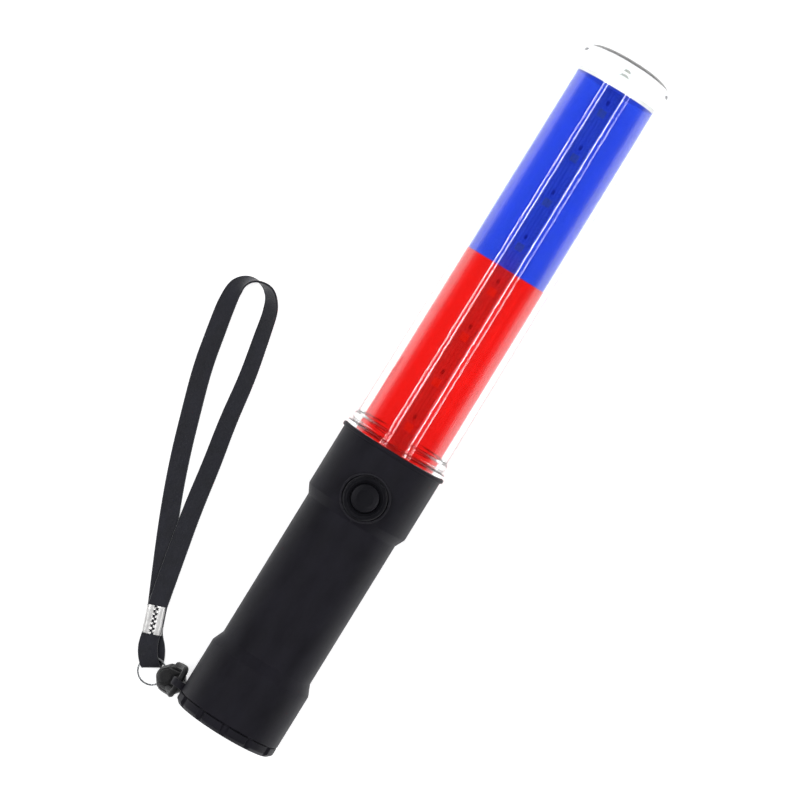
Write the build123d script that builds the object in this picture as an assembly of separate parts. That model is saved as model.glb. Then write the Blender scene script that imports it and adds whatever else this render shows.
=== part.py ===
from build123d import *
import math
import os

# Traffic baton: a clear light tube over a red and a blue film, on a black handle with a screw cap
# at the butt and a ribbon wrist loop. Millimetres.
# The origin is on the baton's axis, in the middle of the grip. +X runs along the axis towards the
# light, +Z goes out through the push button, and +Y is the side of the strap eye.
# "Station" below is the distance along the axis from the butt end.

# ---------------------------------------------------------------- driving dimensions
# Handle, from the butt towards the light
CAP_RIM_LENGTH = 6.0
REAR_COLLAR_LENGTH = 25.2
REAR_CHAMFER_LENGTH = 5.0
GRIP_LENGTH = 67.5
FRONT_CHAMFER_LENGTH = 4.2
FRONT_COLLAR_LENGTH = 28.0
LIP_LENGTH = 1.7
COLLAR_RADIUS = 23.3
GRIP_RADIUS = 21.15
LIP_PROUD = 0.9              # how far the lip stands out past the collar
GRIP_WALL = 3.0
EDGE_BREAK = 0.5

# Clear tube
FLANGE_LENGTH = 2.1
FLANGE_GROOVE_LENGTH = 1.2
BEAD_LENGTH = 2.2
FLANGE_STEP = 0.8            # the flange is this much smaller than the lip, in radius
BEAD_PROUD = 0.8             # how far the bead stands out past the tube
TUBE_BASE_RADIUS = 21.7
TUBE_TIP_RADIUS = 20.4
TUBE_WALL = 2.2
TUBE_LENGTH = 183.4          # from the handle's lip to the shoulder of the dome
DOME_HEIGHT = 5.8
DOME_EDGE = 0.8              # rounding between the tube and the dome
DOME_INSET = 0.5             # the inner dome starts this far past the outer one
SPIGOT_LENGTH = 11.0
SPIGOT_WALL = 1.7
SPIGOT_CLEARANCE = 0.1
GASKET_FROM_LIP = 3.4        # from the lip's front face back to the gasket
GASKET_LENGTH = 1.8
GASKET_DEPTH = 0.9
TUBE_SCREW_RADIUS = 1.1
TUBE_SCREW_HEAD_RADIUS = 2.1
TUBE_SCREW_ANGLES = (-125, -55)

# Films and what stands inside the tube
FILM_BASE_RADIUS = 18.55
FILM_TIP_RADIUS = 17.95
FILM_THICKNESS = 0.5
RED_FILM_LENGTH = 94.7
TIP_ROOM = 9.0               # clear tube past the end of the blue film, to the dome's shoulder
BULKHEAD_THICKNESS = 3.2
BULKHEAD_INSET = 1.0         # from the tube's end to the bulkhead
TIP_DISC_THICKNESS = 1.8
DISC_CLEARANCE = 0.15
BOARD_WIDTH = 7.8
BOARD_THICKNESS = 1.6
BOARD_CLEARANCE = 0.1
BOARD_TAIL = 3.5             # what reaches back out of the bulkhead, for the wires
LED_SIZE = 5.0
LED_HEIGHT = 1.5
LEDS_PER_COLOUR = 4
RESISTOR_SIZE = (2.0, 1.3, 0.55)
RESISTOR_GAP = 1.5           # from an LED to its resistor
TIP_LED_RADIUS = 2.5
TIP_LED_LENGTH = 6.5

# Push button and its switch
BUTTON_FROM_LIP = 22.2       # from the lip's front face back to the button's centre
PAD_RIM = 0.8
PAD_PROUD = 0.1              # the flat pad's top stands this far over the collar
BEZEL_GROOVE = 0.6
BEZEL_DEPTH = 0.8
BEZEL_RIM = 2.25             # the bezel's flange past its barrel
BEZEL_PROUD = 1.3
BARREL_WALL = 0.65
BARREL_CLEARANCE = 0.05
BUTTON_RADIUS = 6.15
BUTTON_CLEARANCE = 0.15
BUTTON_TRAVEL = 0.8
BUTTON_FLANGE = 1.4
BUTTON_FLANGE_THICKNESS = 0.9
BUTTON_FLANGE_ROOM = 0.35
RUNNING_GAP = 0.1            # between the button's flange, the barrel's end and the bore
SWITCH_PLAY = 0.3            # left over the switch when the button is pressed
SWITCH_SIZE = 6.0
SWITCH_HEIGHT = 3.6
STEM_RADIUS = 1.75
SWITCH_BOARD_LENGTH = 14.5
SWITCH_BOARD_HALF_WIDTH = 11.4
SWITCH_BOARD_THICKNESS = 1.2
SWITCH_SCREW_OFFSET = 9.0
SWITCH_SCREW_INSET = 3.0     # from the board's front edge
SWITCH_SCREW_HEAD_RADIUS = 1.6
SCREW_BOSS_RADIUS = 2.3
SMALL_SCREW_RADIUS = 0.8

# Battery compartment, screw cap and spring
CELL_RADIUS = 13.1
CELL_LENGTH = 50.0
CELL_NUB_LENGTH = 1.6
CELL_NUB_RADIUS = 3.6
BATTERY_TUBE_CLEARANCE = 0.4
BATTERY_TUBE_WALL = 1.6
RIB_THICKNESS = 1.6
CONTACT_DISC_THICKNESS = 2.0
CONTACT_GAP = 0.8            # from the front cell to the disc, and from the disc to the switch board
CAP_FLOOR = 2.9
CAP_NOTCHES = 12
CAP_NOTCH_RADIUS = 1.7
CAP_CORNER = 1.6
CAP_DOME = 1.2
CAP_SEAM = 0.1
NECK_LENGTH = 9.0
NECK_WALL = 2.5
NECK_CELL_GAP = 1.0          # holds the contact cup round the cell
THREAD_CLEARANCE = 0.3
NECK_END_CLEARANCE = 0.3
SEAL_SECTION = 0.75
SPRING_LENGTH = 5.2          # pressed, with the cap closed
SPRING_WIRE_RADIUS = 0.5
SPRING_TURNS = 3
SPRING_WIDE_RADIUS = 9.0
SPRING_NARROW_RADIUS = 6.0
SHEET_METAL = 0.4

# Strap eye, knotted tab, wire ring, crimp and ribbon
EYE_THICKNESS = 3.2
EYE_INSET = 0.2              # from the cap's seam
EYE_REACH = 5.4              # past the collar
EYE_HALF_HEIGHT = 3.4
EYE_HOLE_RADIUS = 1.75
EYE_HOLE_SHIFT = 0.5         # the hole is this much further out than the rounded end's middle
TETHER_RADIUS = 1.3
KNOT_RADIUS = 6.7
KNOT_LENGTH = 13.6
RING_RADIUS = 5.9            # to the middle of the wire
RING_WIRE_RADIUS = 0.4
RING_CLEARANCE = 0.3
RIBBON_WIDTH = 8.0
RIBBON_THICKNESS = 1.1
CRIMP_LENGTH = 12.2
CRIMP_WIDTH = 9.2
CRIMP_WALL = 0.5
LAYER_GAP = 0.1              # between the two layers of ribbon in the crimp
SHORT_LOOP_LENGTH = 12.8     # from the crimp to the fold's outside

# ---------------------------------------------------------------- places worked out from them
CAP_END = CAP_RIM_LENGTH
REAR_COLLAR_END = CAP_END + REAR_COLLAR_LENGTH
GRIP_START = REAR_COLLAR_END + REAR_CHAMFER_LENGTH
GRIP_END = GRIP_START + GRIP_LENGTH
FRONT_COLLAR_START = GRIP_END + FRONT_CHAMFER_LENGTH
LIP_START = FRONT_COLLAR_START + FRONT_COLLAR_LENGTH
LIP_END = LIP_START + LIP_LENGTH
GRIP_MIDDLE = (GRIP_START + GRIP_END) / 2

LIP_RADIUS = COLLAR_RADIUS + LIP_PROUD
FLANGE_RADIUS = LIP_RADIUS - FLANGE_STEP
BEAD_RADIUS = TUBE_BASE_RADIUS + BEAD_PROUD
FLANGE_END = LIP_END + FLANGE_LENGTH
GROOVE_END = FLANGE_END + FLANGE_GROOVE_LENGTH
BEAD_END = GROOVE_END + BEAD_LENGTH
SHOULDER = LIP_END + TUBE_LENGTH
SEAT = LIP_END - SPIGOT_LENGTH
TUBE_BASE_BORE = TUBE_BASE_RADIUS - TUBE_WALL
TUBE_TIP_BORE = TUBE_TIP_RADIUS - TUBE_WALL
SPIGOT_RADIUS = TUBE_BASE_BORE + SPIGOT_WALL
SOCKET_RADIUS = SPIGOT_RADIUS + SPIGOT_CLEARANCE
DOME_INSIDE = SHOULDER + DOME_INSET

BORE_RADIUS = GRIP_RADIUS - GRIP_WALL
NECK_INNER_RADIUS = CELL_RADIUS + NECK_CELL_GAP
NECK_RADIUS = NECK_INNER_RADIUS + NECK_WALL
THREAD_BORE_RADIUS = NECK_RADIUS + THREAD_CLEARANCE
NECK_END = CAP_END + NECK_LENGTH
THREAD_BORE_END = NECK_END + NECK_END_CLEARANCE

BULKHEAD_START = SEAT + BULKHEAD_INSET
FILM_START = BULKHEAD_START + BULKHEAD_THICKNESS
FILM_JOINT = FILM_START + RED_FILM_LENGTH
FILM_END = SHOULDER - TIP_ROOM
BOARD_START = BULKHEAD_START - BOARD_TAIL

CELL_START = CAP_FLOOR + SHEET_METAL + SPRING_LENGTH
CELL_END = CELL_START + 2 * CELL_LENGTH
CONTACT_DISC_START = CELL_END + CONTACT_GAP
CONTACT_DISC_END = CONTACT_DISC_START + CONTACT_DISC_THICKNESS
BATTERY_TUBE_START = THREAD_BORE_END + SHEET_METAL
BATTERY_TUBE_BORE = CELL_RADIUS + BATTERY_TUBE_CLEARANCE
BATTERY_TUBE_RADIUS = BATTERY_TUBE_BORE + BATTERY_TUBE_WALL
DISC_RADIUS = BORE_RADIUS - DISC_CLEARANCE

BUTTON_STATION = LIP_END - BUTTON_FROM_LIP
BEZEL_BARREL_RADIUS = BUTTON_RADIUS + BUTTON_CLEARANCE + BARREL_WALL
BEZEL_RADIUS = BEZEL_BARREL_RADIUS + BEZEL_RIM
PAD_RADIUS = BEZEL_RADIUS + BEZEL_GROOVE + PAD_RIM
PAD_HEIGHT = COLLAR_RADIUS + PAD_PROUD
FLANGE_POCKET_RADIUS = BUTTON_RADIUS + BUTTON_FLANGE + BUTTON_FLANGE_ROOM
BEZEL_SEAT = PAD_HEIGHT - BEZEL_DEPTH
BARREL_END = BORE_RADIUS - RUNNING_GAP
FLANGE_TOP = BARREL_END - RUNNING_GAP
FLANGE_BOTTOM = FLANGE_TOP - BUTTON_FLANGE_THICKNESS
SWITCH_TOP = FLANGE_BOTTOM - BUTTON_TRAVEL - SWITCH_PLAY
SWITCH_BOARD_TOP = SWITCH_TOP - SWITCH_HEIGHT
SWITCH_BOARD_BOTTOM = SWITCH_BOARD_TOP - SWITCH_BOARD_THICKNESS
SWITCH_BOARD_START = CONTACT_DISC_END + CONTACT_GAP
SWITCH_SCREW_STATION = SWITCH_BOARD_START + SWITCH_BOARD_LENGTH - SWITCH_SCREW_INSET

TABLE = -LIP_RADIUS          # the surface that the baton lies on
EYE_START = CAP_END + EYE_INSET
EYE_STATION = EYE_START + EYE_THICKNESS / 2
EYE_HOLE_Y = COLLAR_RADIUS + EYE_REACH - EYE_HALF_HEIGHT + EYE_HOLE_SHIFT
KNOT_AT = (5.4, COLLAR_RADIUS + 6.1, TABLE + KNOT_RADIUS)
CRIMP_SLOT = 2 * (RIBBON_THICKNESS + LAYER_GAP)
LOWER_RIBBON = TABLE + CRIMP_WALL + (LAYER_GAP + RIBBON_THICKNESS) / 2
UPPER_RIBBON = LOWER_RIBBON + RIBBON_THICKNESS + LAYER_GAP
RING_GAP = 2 * (RING_WIRE_RADIUS + RING_CLEARANCE)
RING_HEIGHT = LOWER_RIBBON + RIBBON_THICKNESS / 2 + RING_GAP / 2
RING_AT = (3.6, COLLAR_RADIUS + 15.1, RING_HEIGHT)
CRIMP_NEAR = (15.6, COLLAR_RADIUS + 21.5)    # station and Y of the crimp's end at the ring
CRIMP_FAR = (27.3, COLLAR_RADIUS + 25.7)     # and of its end at the wrist loop

# Middle line of the wrist loop: station, distance out from the collar's side, and the layer of the
# crimp that the ribbon is level with, 0 for the lower one and 1 for the upper one.
WRIST_LOOP = [
    (26.4, 25.3, 0.0),
    (47.0, 34.3, 0.0),
    (68.0, 43.1, 0.0),
    (87.0, 50.3, 0.0),
    (105.5, 56.2, 0.0),
    (124.0, 61.9, 0.0),
    (141.0, 65.2, 0.0),
    (152.0, 67.3, 0.0),
    (161.5, 67.9, 0.0),
    (167.4, 62.7, 0.0),
    (167.2, 54.7, 0.0),
    (161.0, 49.9, 0.0),
    (148.5, 47.3, 0.0),
    (130.0, 43.3, 1.0),
    (110.5, 40.9, 1.0),
    (91.0, 37.1, 1.0),
    (72.0, 34.3, 1.0),
    (49.5, 29.9, 1.0),
    (26.4, 25.4, 1.0),
]


# ---------------------------------------------------------------- helpers
def place(station, y=0.0, z=0.0):
    """A point given by its station, as the part's own X."""
    return Vector(station - GRIP_MIDDLE, y, z)


def turned(*outline):
    """A solid of revolution about the baton's axis, from (station, radius) corners."""
    corners = [(station - GRIP_MIDDLE, radius) for station, radius in outline]
    return revolve(make_face(Polyline(*corners, close=True)), Axis.X)


def ring(start, end, inner, outer):
    """A plain ring about the axis, or a disc where inner is 0."""
    return turned((start, inner), (end, inner), (end, outer), (start, outer))


def block(start, end, y, z):
    """A box from one station to another, with (low, high) ranges across."""
    size = (end - start, y[1] - y[0], z[1] - z[0])
    middle = place((start + end) / 2, (y[0] + y[1]) / 2, (z[0] + z[1]) / 2)
    return Pos(middle) * Box(*size)


def post(station, y, low, high, radius):
    """A round post along Z."""
    return Pos(place(station, y, (low + high) / 2)) * Cylinder(radius, high - low)


def at_angle(shape, degrees):
    """The shape turned about the baton's axis."""
    return Rot(degrees, 0, 0) * shape


def tapered_radius(station):
    """Outer radius of the films at a station."""
    share = (station - FILM_START) / (FILM_END - FILM_START)
    return FILM_BASE_RADIUS + share * (FILM_TIP_RADIUS - FILM_BASE_RADIUS)


def bore_radius(station):
    """Inner radius of the clear tube at a station past the bead."""
    share = (station - BEAD_END) / (SHOULDER - BEAD_END)
    return TUBE_BASE_BORE + share * (TUBE_TIP_BORE - TUBE_BASE_BORE)


def dome_arc(start, radius, height):
    """Quarter outline of a dome, from its shoulder to its top on the axis."""
    sphere = (radius ** 2 + height ** 2) / (2 * height)
    half = math.asin(radius / sphere) / 2
    middle = (start + height - sphere * (1 - math.cos(half)), sphere * math.sin(half))
    points = [(start, radius), middle, (start + height, 0.0)]
    return ThreePointArc(*[(station - GRIP_MIDDLE, r) for station, r in points])


def smooth_path(points, name):
    """Straight runs joined by tangent arcs, each as large as its two runs allow."""
    radii = []
    for before, corner, after in zip(points, points[1:], points[2:]):
        shorter = min((corner - before).length, (after - corner).length)
        turn = math.radians((corner - before).get_angle(after - corner))
        radii.append(0.45 * shorter / math.tan(turn / 2))
    print(name, "radii", [round(radius, 1) for radius in radii])
    return FilletPolyline(*points, radius=radii)


def round_cord(points, radius, name):
    """A round cord of that radius along a smooth path."""
    path = smooth_path(points, name)
    section = Plane(origin=path @ 0, z_dir=path % 0) * Circle(radius)
    cord = sweep(section, path=path)
    print(name, "length", round(path.length, 1), "volume share",
          round(cord.volume / (path.length * math.pi * radius ** 2), 4))
    return cord


# ---------------------------------------------------------------- handle
def handle_shell():
    """Moulded shell with the tube's socket, the button pad, two screw bosses and the strap eye."""
    shell = turned(
        (CAP_END, COLLAR_RADIUS - EDGE_BREAK),
        (CAP_END + EDGE_BREAK, COLLAR_RADIUS),
        (REAR_COLLAR_END, COLLAR_RADIUS),
        (GRIP_START, GRIP_RADIUS),
        (GRIP_END, GRIP_RADIUS),
        (FRONT_COLLAR_START, COLLAR_RADIUS),
        (LIP_START, COLLAR_RADIUS),
        (LIP_START, LIP_RADIUS),
        (LIP_END, LIP_RADIUS),
        (LIP_END, SOCKET_RADIUS),
        (SEAT, SOCKET_RADIUS),
        (SEAT, BORE_RADIUS),
        (THREAD_BORE_END, BORE_RADIUS),
        (THREAD_BORE_END, THREAD_BORE_RADIUS),
        (CAP_END, THREAD_BORE_RADIUS),
    )
    pad = post(BUTTON_STATION, 0, BORE_RADIUS - 2, PAD_HEIGHT, PAD_RADIUS)
    bosses = Part()
    for side in (-1, 1):
        y = side * SWITCH_SCREW_OFFSET
        bosses += post(SWITCH_SCREW_STATION, y, SWITCH_BOARD_TOP, BORE_RADIUS - 1, SCREW_BOSS_RADIUS)
    shell += pad - ring(BUTTON_STATION - 2 * PAD_RADIUS, SEAT, 0, BORE_RADIUS) + bosses
    shell += strap_eye()
    shell -= ring(SEAT, LIP_END, 0, SOCKET_RADIUS)
    shell -= post(BUTTON_STATION, 0, BEZEL_SEAT, PAD_HEIGHT + 1, BEZEL_RADIUS + BEZEL_GROOVE)
    shell -= post(BUTTON_STATION, 0, 0, PAD_HEIGHT, BEZEL_BARREL_RADIUS + BARREL_CLEARANCE)
    shell -= post(BUTTON_STATION, 0, 0, FLANGE_TOP + RUNNING_GAP, FLANGE_POCKET_RADIUS)
    for side in (-1, 1):
        y = side * SWITCH_SCREW_OFFSET
        shell -= post(SWITCH_SCREW_STATION, y, SWITCH_BOARD_TOP, BORE_RADIUS, SMALL_SCREW_RADIUS)
    for screw_hole in tube_screw_shapes():
        shell -= screw_hole
    return shell


def strap_eye():
    """A plate that stands out of the rear collar, with a rounded end and a hole along the axis."""
    end = COLLAR_RADIUS + EYE_REACH - EYE_HALF_HEIGHT
    plate = block(EYE_START, EYE_START + EYE_THICKNESS, (COLLAR_RADIUS - 2, end),
                  (-EYE_HALF_HEIGHT, EYE_HALF_HEIGHT))
    middle = place(EYE_STATION, end, 0)
    plate += Pos(middle) * Rot(0, 90, 0) * Cylinder(EYE_HALF_HEIGHT, EYE_THICKNESS)
    hole = Pos(place(EYE_STATION, EYE_HOLE_Y, 0)) * Rot(0, 90, 0)
    return plate - hole * Cylinder(EYE_HOLE_RADIUS, 2 * EYE_THICKNESS)


def tube_screw_shapes():
    """Two small screws at the back that hold the tube's spigot in the collar."""
    station = (SEAT + LIP_END - GASKET_FROM_LIP) / 2 - 0.5
    length = COLLAR_RADIUS - TUBE_BASE_BORE - 0.6
    screws = []
    for degrees in TUBE_SCREW_ANGLES:
        shank = post(station, 0, TUBE_BASE_BORE + 0.2, TUBE_BASE_BORE + length, TUBE_SCREW_RADIUS)
        head = post(station, 0, SOCKET_RADIUS + 0.7, COLLAR_RADIUS - 0.2, TUBE_SCREW_HEAD_RADIUS)
        screws.append(at_angle(shank + head, degrees - 90))
    return screws


# ---------------------------------------------------------------- clear tube and its inside
def lens_tube():
    """Clear moulded tube, closed by a dome, with a flange, a bead and a spigot at its base."""
    stations = [
        (SEAT, TUBE_BASE_BORE),
        (SEAT, SPIGOT_RADIUS),
        (LIP_END, SPIGOT_RADIUS),
        (LIP_END, FLANGE_RADIUS),
        (FLANGE_END, FLANGE_RADIUS),
        (FLANGE_END, TUBE_BASE_RADIUS + 0.3),
        (GROOVE_END, TUBE_BASE_RADIUS + 0.3),
        (GROOVE_END, BEAD_RADIUS),
        (BEAD_END, BEAD_RADIUS),
        (BEAD_END, TUBE_BASE_RADIUS),
        (SHOULDER - 1.0, TUBE_TIP_RADIUS),
        (SHOULDER, TUBE_TIP_RADIUS - DOME_EDGE),
    ]
    corners = [(station - GRIP_MIDDLE, radius) for station, radius in stations]
    bore = [(DOME_INSIDE, TUBE_TIP_BORE), (BEAD_END, TUBE_BASE_BORE)]
    inside = [(station - GRIP_MIDDLE, radius) for station, radius in bore] + [corners[0]]
    outer_dome = dome_arc(SHOULDER, TUBE_TIP_RADIUS - DOME_EDGE, DOME_HEIGHT)
    inner_dome = dome_arc(DOME_INSIDE, TUBE_TIP_BORE, DOME_HEIGHT - TUBE_WALL)
    tip_line = Line(outer_dome @ 1, inner_dome @ 1)
    face = make_face(Polyline(*corners) + outer_dome + tip_line + inner_dome + Polyline(*inside))
    tube = revolve(face, Axis.X)
    tube -= gasket_shape(0.05)
    for screw_hole in tube_screw_shapes():
        tube -= screw_hole
    return tube


def gasket_shape(slack):
    """Rubber ring in a groove of the spigot, just behind the lip."""
    start = LIP_END - GASKET_FROM_LIP
    inner = SPIGOT_RADIUS - GASKET_DEPTH - slack
    return ring(start - slack, start + GASKET_LENGTH + slack, inner, SPIGOT_RADIUS)


def film(start, end):
    """A rolled sleeve of coloured film."""
    outer = (tapered_radius(start), tapered_radius(end))
    return turned(
        (start, outer[0] - FILM_THICKNESS),
        (end, outer[1] - FILM_THICKNESS),
        (end, outer[1]),
        (start, outer[0]),
    )


def led_board():
    half = BOARD_WIDTH / 2
    return block(BOARD_START, FILM_END, (-half, half), (-BOARD_THICKNESS / 2, BOARD_THICKNESS / 2))


def board_bulkhead():
    """Disc in the tube's base that centres the board and carries the films."""
    disc = ring(BULKHEAD_START, FILM_START, 0, TUBE_BASE_BORE - DISC_CLEARANCE)
    half = BOARD_WIDTH / 2 + BOARD_CLEARANCE
    thick = BOARD_THICKNESS / 2 + BOARD_CLEARANCE
    return disc - block(BULKHEAD_START - 1, FILM_START + 1, (-half, half), (-thick, thick))


def led_stations(start, end):
    pitch = (end - start) / LEDS_PER_COLOUR
    return [start + pitch * (index + 0.5) for index in range(LEDS_PER_COLOUR)]


def leds(start, end):
    """Square surface-mount LEDs on both faces of the board, evenly along one film."""
    shapes = []
    half = LED_SIZE / 2
    face = BOARD_THICKNESS / 2
    for station in led_stations(start, end):
        for low, high in ((face, face + LED_HEIGHT), (-face - LED_HEIGHT, -face)):
            shapes.append(block(station - half, station + half, (-half, half), (low, high)))
    return Compound(shapes)


def resistors():
    """One small resistor beside each LED on the upper face."""
    shapes = []
    face = BOARD_THICKNESS / 2
    length, width, height = RESISTOR_SIZE
    for start, end in ((LIP_END, FILM_JOINT), (FILM_JOINT, FILM_END)):
        for station in led_stations(start, end):
            at = station + LED_SIZE / 2 + RESISTOR_GAP
            shapes.append(block(at, at + length, (-width / 2, width / 2), (face, face + height)))
    return Compound(shapes)


def tip_led():
    """Round LED that shines out through the dome."""
    start = FILM_END + TIP_DISC_THICKNESS
    body_end = start + TIP_LED_LENGTH - TIP_LED_RADIUS
    lamp = ring(start, start + 1.0, 0, TIP_LED_RADIUS + 0.4) + ring(start, body_end, 0, TIP_LED_RADIUS)
    return lamp + Pos(place(body_end)) * Sphere(TIP_LED_RADIUS)


# ---------------------------------------------------------------- button and switch
def button_bezel():
    """Raised ring round the button, with a barrel through the handle's wall."""
    top = PAD_HEIGHT + BEZEL_PROUD
    bore = BUTTON_RADIUS + BUTTON_CLEARANCE
    outline = [
        (bore, BARREL_END),
        (BEZEL_BARREL_RADIUS, BARREL_END),
        (BEZEL_BARREL_RADIUS, BEZEL_SEAT),
        (BEZEL_RADIUS, BEZEL_SEAT),
        (BEZEL_RADIUS, top - 0.6),
        (BEZEL_RADIUS - 0.6, top),
        (BEZEL_RADIUS - 1.7, top),
        (bore, top - 0.9),
    ]
    return turned_about_button(outline)


def turned_about_button(outline):
    """A solid of revolution about the button's axis, from (radius, height) corners."""
    corners = [(radius, 0, height) for radius, height in outline]
    shape = revolve(make_face(Polyline(*corners, close=True)), Axis.Z)
    return Pos(place(BUTTON_STATION)) * shape


def button_cap():
    """Round cap with a shallow crown and a flange that stops it in the bezel."""
    edge = PAD_HEIGHT + 0.1
    return turned_about_button([
        (0, FLANGE_BOTTOM),
        (BUTTON_RADIUS + BUTTON_FLANGE, FLANGE_BOTTOM),
        (BUTTON_RADIUS + BUTTON_FLANGE, FLANGE_TOP),
        (BUTTON_RADIUS, FLANGE_TOP),
        (BUTTON_RADIUS, edge),
        (BUTTON_RADIUS - 0.5, edge + 0.4),
        (BUTTON_RADIUS - 2.6, edge + 0.7),
        (0, edge + 0.8),
    ])


def switch_body():
    half = SWITCH_SIZE / 2
    start, end = BUTTON_STATION - half, BUTTON_STATION + half
    body = block(start, end, (-half, half), (SWITCH_BOARD_TOP, SWITCH_TOP))
    return body - post(BUTTON_STATION, 0, SWITCH_TOP - 2.2, SWITCH_TOP + 1, STEM_RADIUS + 0.1)


def switch_stem():
    return post(BUTTON_STATION, 0, SWITCH_TOP - 1.2, FLANGE_BOTTOM, STEM_RADIUS)


def switch_board():
    half = SWITCH_BOARD_HALF_WIDTH
    end = SWITCH_BOARD_START + SWITCH_BOARD_LENGTH
    board = block(SWITCH_BOARD_START, end, (-half, half), (SWITCH_BOARD_BOTTOM, SWITCH_BOARD_TOP))
    for side in (-1, 1):
        y = side * SWITCH_SCREW_OFFSET
        hole = SMALL_SCREW_RADIUS + 0.2
        board -= post(SWITCH_SCREW_STATION, y, SWITCH_BOARD_BOTTOM, SWITCH_BOARD_TOP, hole)
    return board


def switch_screws():
    screws = []
    for side in (-1, 1):
        y = side * SWITCH_SCREW_OFFSET
        tip, seat = SWITCH_BOARD_TOP + 2.4, SWITCH_BOARD_BOTTOM
        shank = post(SWITCH_SCREW_STATION, y, seat, tip, SMALL_SCREW_RADIUS)
        head = post(SWITCH_SCREW_STATION, y, seat - 1.0, seat, SWITCH_SCREW_HEAD_RADIUS)
        screws.append(shank + head)
    return Compound(screws)


def control_chip():
    start = SWITCH_BOARD_START + 5.5
    return block(start, start + 5, (-6.5, -2.5), (SWITCH_BOARD_BOTTOM - 1.5, SWITCH_BOARD_BOTTOM))


# ---------------------------------------------------------------- battery compartment
def battery_tube():
    """Liner that holds the cells in a row, centred in the handle by four ribs."""
    tube = ring(BATTERY_TUBE_START, CONTACT_DISC_START, BATTERY_TUBE_BORE, BATTERY_TUBE_RADIUS)
    half = RIB_THICKNESS / 2
    for degrees in (45, 135, 225, 315):
        out = (BATTERY_TUBE_RADIUS - 0.4, DISC_RADIUS)
        rib = block(BATTERY_TUBE_START, CONTACT_DISC_START, (-half, half), out)
        tube += at_angle(rib, degrees)
    return tube


def cell(start):
    """One round cell, its flat end at the butt."""
    shoulder = start + CELL_LENGTH - CELL_NUB_LENGTH
    body = ring(start, shoulder, 0, CELL_RADIUS)
    return body + ring(shoulder, start + CELL_LENGTH, 0, CELL_NUB_RADIUS)


def contact_disc():
    disc = ring(CONTACT_DISC_START, CONTACT_DISC_END, 0, DISC_RADIUS)
    disc -= ring(CONTACT_DISC_START, CONTACT_DISC_END, 0, 1.2)
    slot = (-BATTERY_TUBE_RADIUS - 1.2, -BATTERY_TUBE_RADIUS - 0.1)
    flat = (BATTERY_TUBE_RADIUS + 0.3, BORE_RADIUS)
    half = FLANGE_POCKET_RADIUS + 2
    disc -= block(CONTACT_DISC_START, CONTACT_DISC_END, (-half, half), flat)
    return disc - block(CONTACT_DISC_START, CONTACT_DISC_END, (-3, 3), slot)


def positive_contact():
    """Riveted brass contact, its button on the front cell's nub."""
    button = ring(CELL_END, CONTACT_DISC_START, 0, 4)
    rivet = ring(CONTACT_DISC_START, CONTACT_DISC_END, 0, 1.2)
    return button + rivet + ring(CONTACT_DISC_END, CONTACT_DISC_END + 0.6, 0, 2.4)


def return_strip():
    """Metal ring at the cap's contact, with a strip along the liner to the front."""
    low = -BATTERY_TUBE_RADIUS - 0.3 - SHEET_METAL
    washer = ring(THREAD_BORE_END, BATTERY_TUBE_START, BATTERY_TUBE_BORE + 0.4, THREAD_BORE_RADIUS - 0.3)
    strip = block(THREAD_BORE_END, CONTACT_DISC_END + 3, (-2.5, 2.5), (low, low + SHEET_METAL))
    return washer + strip


# ---------------------------------------------------------------- screw cap
def butt_cap():
    """Plug cap with a domed end, a notched rim and a hollow neck that screws into the handle."""
    corner = COLLAR_RADIUS - CAP_CORNER
    dome = dome_arc(CAP_DOME, corner, -CAP_DOME)
    rest = Polyline(*[(station - GRIP_MIDDLE, radius) for station, radius in (
        (CAP_DOME, corner),
        (CAP_DOME + CAP_CORNER, COLLAR_RADIUS),
        (CAP_END - CAP_SEAM, COLLAR_RADIUS),
        (CAP_END - CAP_SEAM, NECK_RADIUS),
        (NECK_END, NECK_RADIUS),
        (NECK_END, NECK_INNER_RADIUS),
        (CAP_FLOOR, NECK_INNER_RADIUS),
        (CAP_FLOOR, 0.0),
        (0.0, 0.0),
    )])
    cap = revolve(make_face(dome + rest), Axis.X) - seal_shape(0.05)
    notch = Pos(0, 0, COLLAR_RADIUS + 0.6) * ring(-1, CAP_END + 1, 0, CAP_NOTCH_RADIUS)
    for index in range(CAP_NOTCHES):
        cap -= at_angle(notch, 360 / CAP_NOTCHES * index + 1)
    return cap


def seal_shape(slack):
    """Rubber ring round the root of the cap's neck."""
    station = CAP_END + SEAL_SECTION + 0.3
    centre = THREAD_BORE_RADIUS - 0.1 - SEAL_SECTION
    section = Pos(station - GRIP_MIDDLE, centre) * Circle(SEAL_SECTION + slack)
    return revolve(section, Axis.X)


def cap_contact():
    """Sheet-metal cup in the cap: the spring's seat, and a flange that meets the return strip."""
    outer = NECK_INNER_RADIUS - 0.1
    inner = outer - SHEET_METAL
    flange_end = THREAD_BORE_END - 0.05
    return turned(
        (CAP_FLOOR, 0),
        (CAP_FLOOR, outer),
        (NECK_END + 0.02, outer),
        (NECK_END + 0.02, NECK_RADIUS - 0.3),
        (flange_end, NECK_RADIUS - 0.3),
        (flange_end, inner),
        (CAP_FLOOR + SHEET_METAL, inner),
        (CAP_FLOOR + SHEET_METAL, 0),
    )


def battery_spring():
    """Conical wire spring, wide at the cap and narrow at the cell."""
    height = SPRING_LENGTH - 2 * SPRING_WIRE_RADIUS
    taper = math.degrees(math.atan((SPRING_WIDE_RADIUS - SPRING_NARROW_RADIUS) / height))
    coil = Helix(height / SPRING_TURNS, height, SPRING_WIDE_RADIUS, cone_angle=-taper)
    section = Plane(origin=coil @ 0, z_dir=coil % 0) * Circle(SPRING_WIRE_RADIUS)
    wire = sweep(section, path=coil, is_frenet=True)
    return Pos(place(CAP_FLOOR + SHEET_METAL + SPRING_WIRE_RADIUS)) * Rot(0, 90, 0) * wire


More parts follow.
